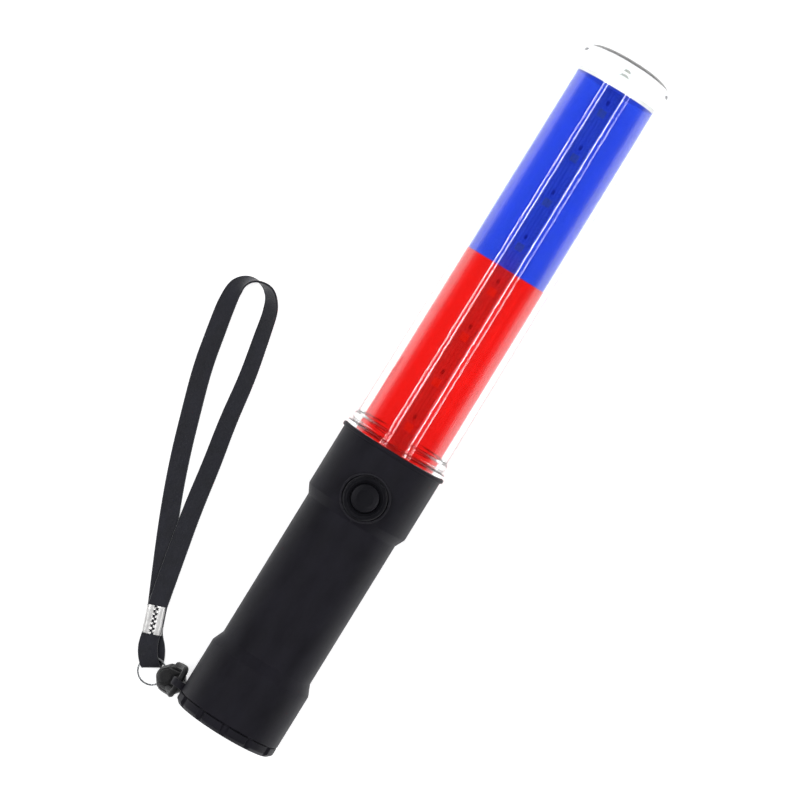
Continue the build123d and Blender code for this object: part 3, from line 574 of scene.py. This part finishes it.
# %% Helpers for turned shapes
def rounded(outline, radius, steps=4):
    """The closed outline with an arc at each corner. A corner's third number is its own radius."""
    result = []
    count = len(outline)
    for index, corner in enumerate(outline):
        here = Vector(corner[:2])
        before = Vector(outline[index - 1][:2])
        after = Vector(outline[(index + 1) % count][:2])
        size = corner[2] if len(corner) > 2 else radius
        back, ahead = before - here, after - here
        if size == 0 or back.length < 1e-9 or ahead.length < 1e-9:
            result.append(tuple(here))
            continue
        half = back.angle(ahead) / 2
        reach = min(size / math.tan(half), 0.45 * back.length, 0.45 * ahead.length)
        start, end = here + back.normalized() * reach, here + ahead.normalized() * reach
        for step in range(steps + 1):
            share = step / steps
            result.append(tuple(start.lerp(here, share).lerp(here.lerp(end, share), share)))
    return result


def turned_piece(name, outline, finish, steps=192, shape=None, sharp=40):
    """A closed solid round the X axis. shape(x, angle, radius) may change the radius at a place."""
    vertices, faces = [], []
    for x, radius in outline:
        for step in range(steps):
            angle = math.tau * step / steps
            reach = shape(x, angle, radius) if shape else radius
            vertices.append((x, reach * math.sin(angle), reach * math.cos(angle)))
    count = len(outline)
    for row in range(count):
        after = (row + 1) % count
        below, above = row * steps, after * steps
        if outline[row][1] == 0 and outline[after][1] == 0:
            continue
        for step in range(steps):
            turn = (step + 1) % steps
            faces.append((below + step, below + turn, above + turn, above + step))
    return make_piece(name, vertices, faces, finish, sharp)


def stations(pairs):
    """Outline given in millimetres from the butt and in radius, as places in the model."""
    return [(BUTT + pair[0] * MM, *[value * MM for value in pair[1:]]) for pair in pairs]


# %% [markdown]
# The clear tube is one moulding: a spigot in the handle, a flange and a bead at its root, a tapered wall
# and a low dome. Clear plastic shows every facet, so it is turned finely, with a wall of true thickness.

# %% Clear tube
TUBE_STEPS = 256
SPIGOT_RADIUS = 21.2
DOME_HEIGHT = 5.8
DOME_FULLNESS = 0.62


def dome(start, radius, height, steps=14):
    """Outline of a low dome, from its shoulder to its top on the axis, with sharp points."""
    arc = [step / steps * math.pi / 2 for step in range(steps)]
    outline = [(start + height * math.sin(angle), radius * math.cos(angle) ** DOME_FULLNESS, 0.0)
               for angle in arc]
    return [*outline, (start + height, 0.0, 0.0)]


shoulder = (TIP - BUTT) / MM - DOME_HEIGHT
outer_dome = dome(shoulder, 20.1, DOME_HEIGHT)
inner_dome = dome(shoulder + 0.1, 18.9, 4.3)
tube_outline = stations([
    (126.6, 19.5, 0.3), (126.6, SPIGOT_RADIUS, 0.4), (137.6, SPIGOT_RADIUS, 0.2), (137.6, 23.4, 0.35),
    (139.7, 23.4, 0.9), (139.8, 22.0, 0.5), (140.8, 22.0, 0.5), (141.0, 22.5, 0.5),
    (143.1, 22.5, 1.2), (144.2, 21.7, 1.0), (shoulder - 1.2, 20.4, 0.8),
    *outer_dome[1:], *reversed(inner_dome), (shoulder - 5, 18.45, 2.0), (143.1, 19.5, 0.5),
])
tube = turned_piece("clear_tube", rounded(tube_outline, 0.3 * MM), "clear", TUBE_STEPS, sharp=60)
hand_over(tube, "baton", "clear_tube", "lens_tube")

# %% [markdown]
# The films are rolled sheets just inside the tube. A rolled sheet is never quite round, so slow waves,
# a few hundredths of a millimetre deep, are added to its radius. They show only in the thin highlights
# along the films, which waver as real ones do.

# %% Red and blue films
FILM_THICKNESS = 0.3 * MM
FILM_CLEARANCE = 0.08 * MM
WAVE_DEPTH = 0.009 * MM
red_low, red_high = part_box("film_red")
blue_low, blue_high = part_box("film_blue")
TAPER = (red_high.y - blue_high.y) / (blue_high.x - red_low.x)


def film_waves(seed):
    """Slow, shallow waves on a rolled sheet."""
    def shape(x, angle, radius):
        along = 0.6 * math.sin(x / (3.1 * MM) + 2.0 * math.sin(angle * 2 + seed))
        along += 0.9 * math.sin(x / (7.7 * MM) + 3 * angle + seed * 2)
        around = 0.8 * math.sin(5 * angle + seed)
        return radius + WAVE_DEPTH * (along + around)
    return shape


def rolled_film(name, low, high, finish, seed):
    """A film's sleeve over its node's length. It tapers as the tube does."""
    places = [low.x + (high.x - low.x) * share for share in np.linspace(0, 1, 97)]
    outer = [(x, high.y - FILM_CLEARANCE - TAPER * (x - low.x)) for x in places]
    inner = [(x, radius - FILM_THICKNESS) for x, radius in reversed(outer)]
    return turned_piece(name, outer + inner, finish, 200, film_waves(seed), 50)


red_film = rolled_film("red_film_sleeve", red_low, red_high, "red", 0.4)
blue_film = rolled_film("blue_film_sleeve", blue_low, blue_high, "blue", 2.1)
hand_over(red_film, "baton", "red_film", "film_red")
hand_over(blue_film, "baton", "blue_film", "film_blue")

# %% [markdown]
# The handle is one moulding. It is turned, then the flat pad for the button, two screw bosses and the
# strap eye are joined on, and the button's seat and the holes are cut away. Exact booleans do this well,
# because every part of it is a closed solid.

# %% Handle
BUTTON_STATION = 115.4
PAD_TOP = 23.4
BOSS_STATION, BOSS_ASIDE = 123.6, 9.0
TUBE_SCREW_STATION = 129.9
TUBE_SCREW_DEGREES = (-125, -55)


def round_post(name, x, y, low, high, radius, edge=0.0, steps=96):
    """A closed post along Z, in millimetres, with a rounded upper edge."""
    bend = [(radius - edge + edge * math.sin(angle), high - edge + edge * math.cos(angle))
            for angle in np.linspace(math.pi / 2, 0, 5)] if edge else [(radius, high)]
    outline = [(0.0, low), (radius, low), *bend, (0.0, high)]
    return spun_piece(name, x, y, outline, "handle", steps)


def spun_piece(name, x, y, outline, finish, steps=128, sharp=35):
    """A closed solid round a line along Z. x is its station, and the outline holds radius and height."""
    vertices = []
    for radius, height in outline:
        for step in range(steps):
            angle = math.tau * step / steps
            vertices.append((BUTT + (x + radius * math.cos(angle)) * MM,
                             (y + radius * math.sin(angle)) * MM, height * MM))
    faces = ring_faces(len(outline), steps, closed=False)
    if outline[0][0] > 0:
        last = (len(outline) - 1) * steps
        faces += [(last + step, last + (step + 1) % steps, (step + 1) % steps, step) for step in range(steps)]
    return make_piece(name, vertices, faces, finish, sharp)


def carve(piece, others, operation):
    """Joins the other pieces to this one, or cuts them from it, and removes them."""
    for other in others:
        cutter = piece.modifiers.new("carve", "BOOLEAN")
        cutter.object = other
        cutter.operation = operation
        cutter.solver = "EXACT"
        settle(piece)
        bpy.data.objects.remove(other)


handle_outline = rounded(stations([
    (6.0, 22.8, 0.5), (6.5, 23.3, 0.5), (31.2, 23.3, 0.8), (36.2, 21.15, 1.2), (103.7, 21.15, 1.2),
    (107.9, 23.3, 0.8), (135.9, 23.3, 0.2), (135.9, 24.2, 0.4), (137.6, 24.2, 0.5), (137.6, 21.3, 0.2),
    (126.6, 21.3, 0.0), (126.6, 18.15, 0.0), (15.3, 18.15, 0.0), (15.3, 16.9, 0.0), (6.0, 16.9, 0.2),
]), 0.3 * MM)
handle = turned_piece("handle_moulding", handle_outline, "handle", 192, sharp=30)

# %% Strap eye: a plate with a rounded end, standing across the axis
EYE_ROOT, EYE_CENTRE, EYE_RADIUS = 21.3, 25.3, 3.4
EYE_ROWS = [(6.2, 0.25), (6.45, 0.0), (9.15, 0.0), (9.4, 0.25)]     # stations, and how far each is drawn in

eye_end = [(EYE_CENTRE + EYE_RADIUS * math.sin(angle), -EYE_RADIUS * math.cos(angle))
           for angle in np.linspace(0, math.pi, 25)]
eye_outline = [(EYE_ROOT, -EYE_RADIUS), *eye_end, (EYE_ROOT, EYE_RADIUS)]
eye_corners = []
for station, inset in EYE_ROWS:
    for y, z in eye_outline:
        away = Vector((y - EYE_CENTRE, z))
        pulled = away * (1 - inset / max(away.length, 0.1))
        eye_corners.append((BUTT + station * MM, (EYE_CENTRE + pulled.x) * MM, pulled.y * MM))
eye = make_piece("eye", eye_corners, ring_faces(len(EYE_ROWS), len(eye_outline)), "handle")

# %% Join the parts of the handle, then cut the button's seat and the holes
def turned_post(post, turn, x, y=0.0):
    """A post made at the butt, turned about the origin and moved to its place."""
    for move in (Matrix.Translation((-BUTT, 0, 0)), turn, Matrix.Translation((BUTT + x * MM, y * MM, 0))):
        post.data.transform(move)
    return post


bosses = [round_post("boss", BOSS_STATION, side * BOSS_ASIDE, 12.35, 17.15, 2.3, steps=32)
          for side in (-1, 1)]
carve(handle, [eye, round_post("pad", BUTTON_STATION, 0, 19.3, PAD_TOP, 10.6, 0.3), *bosses], "UNION")
cutters = [
    round_post("seat", BUTTON_STATION, 0, 22.6, 30, 9.8),
    round_post("barrel_hole", BUTTON_STATION, 0, 15, 30.5, 7.0),
    round_post("flange_room", BUTTON_STATION, 0, 8, 18.05, 7.9),
    *[round_post("screw_hole", BOSS_STATION, side * BOSS_ASIDE, 10, 18.1, 0.8, steps=24) for side in (-1, 1)],
]
for low, high, radius in ((15.0, 23.6, 1.15), (22.0, 30.0, 2.15)):
    for degrees in TUBE_SCREW_DEGREES:
        hole = round_post("tube_screw_hole", 0, 0, low, high, radius, steps=32)
        across = Matrix.Rotation(math.radians(degrees - 90), 4, "X")
        cutters.append(turned_post(hole, across, TUBE_SCREW_STATION))
eye_hole = round_post("eye_hole", 0, 0, -6, 6, 1.75, steps=48)
cutters.append(turned_post(eye_hole, Matrix.Rotation(math.pi / 2, 4, "Y"), 7.8, 25.8))
carve(handle, cutters, "DIFFERENCE")
handle.data.shade_smooth()
handle.data.set_sharp_from_angle(angle=math.radians(30))
hand_over(handle, "baton", "black_abs", "handle_shell")
print("handle faces", len(handle.data.polygons))

# %% [markdown]
# The butt cap has a slightly domed end, a rim with twelve finger notches, and a threaded neck. Notches
# and thread follow rules, so they are worked out while the cap is turned: a notch is where a small
# circle cuts the rim, and the thread is a ridge that climbs one pitch for each turn.

# %% Butt cap
NOTCHES = 12
NOTCH_RADIUS = 1.7 * MM
NOTCH_CENTRE = 23.9 * MM
NOTCH_TURN = math.radians(89)
NOTCH_END = 5.95
THREAD_PITCH = 3.0 * MM
THREAD_HEIGHT = 0.55 * MM
THREAD_START, THREAD_END, THREAD_FADE = 8.0, 14.8, 0.8


def cap_shape(x, angle, radius):
    """Radius of the cap at a place: less in a notch of its rim, more on the thread of its neck."""
    station = (x - BUTT) / MM
    if radius > 20 * MM and station < NOTCH_END:
        gap = math.tau / NOTCHES
        off = (angle - NOTCH_TURN + gap / 2) % gap - gap / 2
        reach = NOTCH_CENTRE * math.sin(off)
        if abs(reach) < NOTCH_RADIUS:
            return min(radius, NOTCH_CENTRE * math.cos(off) - math.sqrt(NOTCH_RADIUS ** 2 - reach ** 2))
    if THREAD_START < station < THREAD_END and radius > 15.5 * MM:
        climb = ((x - BUTT) / THREAD_PITCH - angle / math.tau) % 1.0
        ridge = max(0.0, 1 - abs(climb - 0.5) / 0.3)
        fade = min(1.0, (station - THREAD_START) / THREAD_FADE, (THREAD_END - station) / THREAD_FADE)
        return radius + THREAD_HEIGHT * min(1.0, ridge * 1.6) * fade
    return radius


neck = [(station, 16.2, 0.0) for station in np.arange(8.05, 14.9, 0.15)]
cap_outline = rounded(stations([
    (0.0, 0.0, 0.0), (0.15, 8.0, 0.0), (0.55, 15.0, 0.0), (1.2, 21.7, 0.8), (2.8, 23.3, 0.9),
    (5.9, 23.3, 0.4), (5.9, 16.25, 0.2), (6.5, 16.25, 0.2), (6.5, 15.4, 0.2), (7.8, 15.4, 0.2),
    (7.8, 16.2, 0.1), *neck,
    (15.0, 15.9, 0.1), (15.0, 14.1, 0.1), (2.9, 14.1, 0.1), (2.9, 0.0, 0.0),
]), 0.2 * MM, 3)
butt = turned_piece("butt_cap_moulding", cap_outline, "handle", 480, cap_shape, 35)
hand_over(butt, "screw_cap", "black_abs", "butt_cap")

# %% [markdown]
# The bezel is a turned ring whose barrel goes through the handle's wall. The button slides in it, and
# has a shallow crown and a rounded edge.

# %% Bezel and button
def button_outline(pairs, radius):
    """An outline of radii and heights in millimetres, with its corners rounded."""
    return [(x / MM, y / MM) for x, y in rounded(
        [[value * MM for value in pair] for pair in pairs], radius * MM)]


bezel = spun_piece("bezel_ring", BUTTON_STATION, 0, button_outline([
    (6.3, 18.05), (6.95, 18.05), (6.95, 22.6, 0.1), (9.2, 22.6, 0.1), (9.2, 24.2, 0.5), (8.7, 24.7, 0.5),
    (7.5, 24.7, 0.5), (6.3, 23.8, 0.3)], 0.15), "button", 160)
hand_over(bezel, "baton", "button_plastic", "button_bezel")

knob = spun_piece("button_knob", BUTTON_STATION, 0, [(0.0, 17.05), *button_outline([
    (0.0, 17.05, 0.0), (7.55, 17.05), (7.55, 17.95), (6.15, 17.95, 0.05), (6.15, 23.5, 0.3),
    (5.65, 23.9, 0.5), (3.55, 24.2, 1.5), (0.0, 24.3, 0.0)], 0.1)[1:]], "button", 160)
hand_over(knob, "button", "button_plastic", "button_cap")

# %% [markdown]
# ## What repeats on the board
# Eight LEDs stand on each face of the board, four under each film. A row is one shape at even steps, so
# Geometry Nodes lay it out from three numbers. The result is realised and made a plain mesh, because an
# instance would not be exported.

# %% A node tree that lays out a row on the board
def row_tree():
    tree = bpy.data.node_groups.new("row_on_board", "GeometryNodeTree")
    for name, kind in (("Geometry", "NodeSocketGeometry"), ("Count", "NodeSocketInt"),
                       ("First", "NodeSocketFloat"), ("Step", "NodeSocketFloat"),
                       ("Finish", "NodeSocketMaterial")):
        tree.interface.new_socket(name=name, in_out="INPUT", socket_type=kind)
    tree.interface.new_socket(name="Geometry", in_out="OUTPUT", socket_type="NodeSocketGeometry")
    given = node(tree, "NodeGroupInput").outputs
    start = node(tree, "CombineXYZ", {"X": given["First"]})
    step = node(tree, "CombineXYZ", {"X": given["Step"]})
    line = node(tree, "GeometryNodeMeshLine", {
        "Count": given["Count"], "Start Location": start.outputs[0], "Offset": step.outputs[0]})
    row = node(tree, "GeometryNodeInstanceOnPoints", {
        "Points": line.outputs[0], "Instance": given["Geometry"]})
    under = node(tree, "GeometryNodeTransform", {
        "Geometry": row.outputs[0], "Rotation": (math.pi, 0.0, 0.0)})
    joined = node(tree, "GeometryNodeJoinGeometry", {0: row.outputs[0]})
    tree.links.new(under.outputs[0], joined.inputs[0])
    real = node(tree, "GeometryNodeRealizeInstances", {0: joined.outputs[0]})
    painted = node(tree, "GeometryNodeSetMaterial", {0: real.outputs[0], "Material": given["Finish"]})
    node(tree, "NodeGroupOutput", {0: painted.outputs[0]})
    return tree


ROW_TREE = row_tree()


def laid_out(piece, count, first, step, finish):
    """Repeats the piece along the board by the tree, as a plain mesh."""
    layer = piece.modifiers.new("row", "NODES")
    layer.node_group = ROW_TREE
    given = {"Count": count, "First": first, "Step": step, "Finish": finishes[finish]}
    for item in ROW_TREE.interface.items_tree:
        if item.in_out == "INPUT" and item.name in given:
            layer[item.identifier] = given[item.name]
    settle(piece)


def chamfered_block(name, x, y, low, high, edge, finish):
    """A block with chamfered upper edges, centred on X and Y, in millimetres."""
    rows = [(x, y, low), (x, y, high - edge), (x - edge, y - edge, high)]
    corners = [(along * side * MM, across * other * MM, height * MM)
               for along, across, height in rows for side, other in ((-1, -1), (1, -1), (1, 1), (-1, 1))]
    return make_piece(name, corners, ring_faces(3, 4), finish, 20)


# %% LEDs
BOARD_FACE = 0.8
LED_HALF = 2.5
LED_COUNT = 4
for name in ("red", "blue"):
    low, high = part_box(f"leds_{name}")
    first = low.x + LED_HALF * MM
    step = (high.x - low.x - 2 * LED_HALF * MM) / (LED_COUNT - 1)
    package = chamfered_block(f"lamp_packages_{name}", LED_HALF, LED_HALF, BOARD_FACE, 2.15, 0.2, "led")
    laid_out(package, LED_COUNT, first, step, "led")
    hand_over(package, "baton", "led_body", f"leds_{name}")
    lens = chamfered_block(f"lamp_windows_{name}", 1.9, 1.9, 1.9, 2.3, 0.3, "phosphor")
    laid_out(lens, LED_COUNT, first, step, "phosphor")
    hand_over(lens, "baton", "led_body")
    print(name, "LEDs over", round((high.x - low.x) / MM, 1), "mm")

# %% [markdown]
# ## The strap's hardware
# The crimp is a strip of sheet metal, wrapped round both layers of ribbon and pressed flat. Its ends
# meet on top in a toothed seam. The section is the same all along, but for the seam's place, which
# swings from side to side for the teeth.

# %% Crimp
crimp_low, crimp_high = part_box("strap_crimp")
crimp_middle = (crimp_low + crimp_high) / 2 + Vector((1.2 * MM, 1.7 * MM, 0))
CRIMP_NEAR = Vector((BUTT + 16.8 * MM, 46.5 * MM, 0))
CRIMP_FAR = Vector((BUTT + 28.5 * MM, 50.7 * MM, 0))
strap_way = (CRIMP_FAR - CRIMP_NEAR).normalized()
strap_side = Vector((0, 0, 1)).cross(strap_way)
CRIMP_HALF = 6.1
CRIMP_REACH = 4.1
CRIMP_HEIGHT = 3.4
EDGE_FROM = 3.1
TOOTH = 2.1
SEAM_SWING, SEAM_HALF, SEAM_DEPTH = 0.45, 0.42, 1.3


def edge_curl(across):
    """How far the metal curls in at a place beside the ribbon."""
    return 0.75 * max(0.0, abs(across) - EDGE_FROM) ** 2


def crimp_section(along):
    """Outline of the crimp at a place along it: across and up, in millimetres."""
    swing = SEAM_SWING * (1 if math.sin(along / TOOTH * math.tau) > 0 else -1)
    ease = 0.25 * (abs(along) / CRIMP_HALF) ** 4
    outline = []
    for across in np.linspace(-CRIMP_REACH, CRIMP_REACH, 57):
        from_seam = abs(across - swing)
        crown = CRIMP_HEIGHT - 0.34 * (abs(abs(across) - 2.1) / 2.0) ** 2
        groove = SEAM_DEPTH * math.exp(-(from_seam / SEAM_HALF) ** 4)
        outline.append((across, crown - groove - edge_curl(across) - ease))
    lower = [(across, 0.05 + edge_curl(across) + ease)
             for across in np.linspace(CRIMP_REACH, -CRIMP_REACH, 29)]
    return [*outline, (4.3, 1.7), *lower, (-4.3, 1.7)]


crimp_vertices = []
crimp_rows = np.linspace(-CRIMP_HALF, CRIMP_HALF, 93)
for along in crimp_rows:
    for across, up in crimp_section(along):
        place = Vector((crimp_middle.x, crimp_middle.y, TABLE)) + strap_way * along * MM
        crimp_vertices.append(place - strap_side * (across - 0.3) * MM + Vector((0, 0, up * MM)))
crimp_faces = ring_faces(len(crimp_rows), len(crimp_section(0.0)))
crimp = make_piece("toothed_crimp", crimp_vertices, crimp_faces, "crimp", 50)
hand_over(crimp, "baton", "crimp_steel", "strap_crimp")

# %% [markdown]
# The short end comes out of the crimp as two layers and folds round the wire ring. The layers do not
# lie exactly over each other, so together they look wider than the ribbon is.

# %% Short loop
ring_low, ring_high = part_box("strap_ring")
ring_middle = (ring_low + ring_high) / 2
fold_way = (Vector((ring_middle.x, ring_middle.y, 0)) - CRIMP_NEAR).normalized()
fold_side = Vector((0, 0, 1)).cross(fold_way)
FOLD = [    # along, up and aside, in millimetres
    (-11.0, 2.2, 0.0), (-6.0, 2.3, 0.0), (-1.0, 2.2, 0.2), (1.6, 2.3, 0.9), (4.6, 3.0, 1.6),
    (8.4, 3.2, 1.7), (11.8, 3.1, 1.1), (13.8, 2.6, 0.5), (13.8, 1.2, -0.1), (11.8, 0.7, -0.9),
    (8.4, 0.6, -1.4), (4.6, 0.6, -1.3), (1.6, 0.8, -0.6), (-1.0, 1.0, -0.1), (-6.0, 1.1, 0.0),
    (-11.0, 1.1, 0.0)]


def fold_place(along, up, aside):
    """A place on the short end: along it from the crimp's near edge, up from the table, and aside."""
    way, side = (fold_way, -fold_side) if along > 0 else (-strap_way, strap_side)
    return CRIMP_NEAR + Vector((0, 0, TABLE + up * MM)) + way * along * MM + side * aside * MM


fold_line = nurbs_line("short_loop_route", [fold_place(*entry) for entry in FOLD])
short = ribbon_piece("short_ribbon_loop", fold_line, [0.0] * len(fold_line), RIBBON_WIDTH,
                     RIBBON_THICKNESS, "ribbon", fold_side)
hand_over(short, "baton", "webbing", "short_loop")

# %% [markdown]
# The tab is knotted, and its bands pull into a lump with flat faces and creases between them. Planes
# that cut a ball leave such a lump, so each point of a fine ball is drawn in to the nearest plane, with
# the corners eased and a crease where two faces meet.

# %% Knot
KNOT_PLANES = [     # facing, and distance from the middle in millimetres
    ((0.95, 0.10, 0.30), 6.2), ((-0.95, 0.05, 0.25), 6.2), ((0.62, 0.72, 0.10), 6.1),
    ((-0.55, 0.80, 0.15), 6.3), ((0.55, -0.80, 0.05), 6.2), ((-0.62, -0.72, 0.15), 6.2),
    ((0.10, 0.45, 0.88), 6.3), ((0.15, -0.50, 0.85), 6.2), ((-0.70, 0.10, 0.70), 6.5),
    ((0.72, 0.05, 0.68), 6.5), ((0.0, 0.0, -1.0), 6.5), ((0.5, 0.5, -0.7), 6.6),
    ((-0.5, 0.5, -0.7), 6.6), ((0.5, -0.5, -0.7), 6.6), ((-0.5, -0.5, -0.7), 6.6),
]
CORNER_EASE = 16            # a larger number leaves sharper corners
CREASE_DEPTH = 0.45
CREASE_WIDTH = 0.045
KNOT_RADIUS = 6.3
KNOT_REACH = 6.75           # no point lies further out than this
knot_middle = Vector((BUTT + 5.4 * MM, 29.4 * MM, TABLE + 6.7 * MM))
ball = bmesh.new()
bmesh.ops.create_icosphere(ball, subdivisions=6, radius=1.0)
planes = [(Vector(way).normalized(), distance) for way, distance in KNOT_PLANES]
knot_vertices = []
for vertex in ball.verts:
    way = vertex.co.normalized()
    reaches = sorted(max(0.0, way.dot(facing)) / distance for facing, distance in planes)
    radius = sum(reach ** CORNER_EASE for reach in reaches) ** (-1 / CORNER_EASE)
    crease = math.exp(-((reaches[-1] - reaches[-2]) * KNOT_RADIUS / CREASE_WIDTH) ** 2)
    radius = min(radius - CREASE_DEPTH * crease, KNOT_REACH)
    knot_vertices.append(knot_middle + way * radius * MM)
knot_faces = [tuple(vertex.index for vertex in face.verts) for face in ball.faces]
ball.free()
knot = make_piece("knotted_tab", knot_vertices, knot_faces, "tab", 60)
weave = knot.data.uv_layers.new(name="weave")
for face in knot.data.polygons:
    side = face.normal.cross(Vector((0.3, 0.2, 0.9))).normalized()
    along = face.normal.cross(side)
    for index in face.loop_indices:
        place = knot.data.vertices[knot.data.loops[index].vertex_index].co
        weave.data[index].uv = (place.dot(side), place.dot(along))
hand_over(knot, "baton", "webbing", "strap_knot")

# %% [markdown]
# One bight of the tab goes up through the eye and down again. It is a round cord on a NURBS line.

# %% Bight through the eye
BIGHT_RADIUS = 1.3 * MM
BIGHT_ROUTE = [
    (-0.05745, 0.0300, -0.0157), (-0.05595, 0.0270, -0.0075), (-0.05595, 0.0258, 0.0),
    (-0.06835, 0.0258, 0.0), (-0.06835, 0.0270, -0.0075), (-0.06685, 0.0300, -0.0157)]
bight_line = nurbs_line("bight_route", BIGHT_ROUTE)


def cord_piece(name, line, radius, finish, sides=20):
    """A round braided cord along a line: its strands are shallow ribs that wind round it."""
    vertices = []
    travelled = 0.0
    side = Vector((0, 1, 0))
    for index, place in enumerate(line):
        ahead = (line[min(index + 1, len(line) - 1)] - line[max(index - 1, 0)]).normalized()
        side = (side - ahead * side.dot(ahead)).normalized()
        if index:
            travelled += (place - line[index - 1]).length
        for step in range(sides):
            angle = math.tau * step / sides
            reach = radius * (0.96 + 0.04 * math.cos(4 * angle + travelled / (0.5 * MM)))
            vertices.append(place + reach * (side * math.cos(angle) + ahead.cross(side) * math.sin(angle)))
    piece = make_piece(name, vertices, ring_faces(len(line), sides), finish, 60)
    around = [step / sides * math.tau * radius for step in range(sides)]
    weave_map(piece, around, [row / len(line) * travelled for row in range(len(line))])
    return piece


bight = hand_over(cord_piece("eye_bight", bight_line, BIGHT_RADIUS, "tab"), "baton", "webbing")
print("bight", round(length_of(bight_line), 4), "m")

# %% [markdown]
# ## Light and table
# A pair of long strip lamps stands either side of the camera. Each draws a thin line along the tube. The
# room is pale at the sides and dark overhead, so that black plastic stays black. The table glows as a
# light table does: it shines up through the films, and only a faint shadow lies on it.

# %% Light and table
STRIP_LENGTH = 1.6
STRIP_DISTANCE = 1.35
TABLE_GLOW = 0.71
ROOM_LOW, ROOM_HIGH = 0.5, 0.05         # strength of the room's light at the horizon and overhead
# Degrees from straight above, width and power of each strip lamp
STRIPS = [(-33, 0.034, 4.4), (-24, 0.034, 4.4), (25, 0.042, 5.6), (36, 0.030, 2.6)]


def strip_lamp(name, degrees, width, power):
    """A long narrow lamp above the baton, turned about its axis from straight up."""
    lamp = bpy.data.lights.new(name, "AREA")
    lamp.shape = "RECTANGLE"
    lamp.size, lamp.size_y = STRIP_LENGTH, width
    lamp.energy = power
    away = Matrix.Rotation(math.radians(degrees), 4, "X") @ Matrix.Translation((0, 0, STRIP_DISTANCE))
    added(name, lamp).matrix_world = Matrix.Translation((0.09, 0, 0)) @ away


for index, strip in enumerate(STRIPS):
    strip_lamp(f"strip_{index}", *strip)

world = bpy.data.worlds.new("pale_room")
world.use_nodes = True
sky = world.node_tree
sky.nodes.clear()
upwards = node(sky, "SeparateXYZ", {0: node(sky, "TexCoord").outputs["Generated"]})
gloom = node(sky, "MapRange", {
    "Value": upwards.outputs["Z"], "From Min": 0.0, "From Max": 0.3, "To Min": ROOM_LOW, "To Max": ROOM_HIGH})
room = node(sky, "Background", {"Color": colour("#f4f5f7"), "Strength": gloom.outputs["Result"]})
node(sky, "OutputWorld", {"Surface": room.outputs[0]})
scene.world = world
scene.view_settings.view_transform = "Standard"

table_mesh = bpy.data.meshes.new("table")
corners = [(x, y, TABLE) for x, y in ((-4, -4), (4, -4), (4, 4), (-4, 4))]
table_mesh.from_pydata(corners, [], [(0, 1, 2, 3)])
paper, paper_tree, paper_shader = new_material(
    "matt_white_paper", base_color=colour("#f2f3f4"), roughness=0.9, emission_color=colour("#ffffff"),
    emission_strength=TABLE_GLOW)
bumped(paper_tree, paper_shader, object_noise(paper_tree, 0.6 * MM), 0.02 * MM)
table_mesh.materials.append(paper)
added("table", table_mesh)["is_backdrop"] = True

# %% [markdown]
# ## Finish
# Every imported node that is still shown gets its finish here.

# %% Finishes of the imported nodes
FINISHED_NODES = {
    "white": "tip_disc board_bulkhead switch_stem battery_tube contact_disc",
    "lamp": "tip_led",
    "board": "led_board switch_board",
    "epoxy": "resistors switch_body control_chip",
    "rubber": "tube_gasket cap_seal",
    "zinc": "tube_screws switch_screws strap_ring",
    "cell_rear": "cell_rear",
    "cell_front": "cell_front",
    "brass": "positive_contact",
    "nickel": "return_strip cap_contact battery_spring",
    "wire_red": "wire_positive wire_led",
    "wire_black": "wire_return",
}
for finish, names in FINISHED_NODES.items():
    for name in names.split():
        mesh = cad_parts[name].data
        mesh.materials.clear()
        mesh.materials.append(finishes[finish])
    print(finish, "on", names)

low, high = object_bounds()
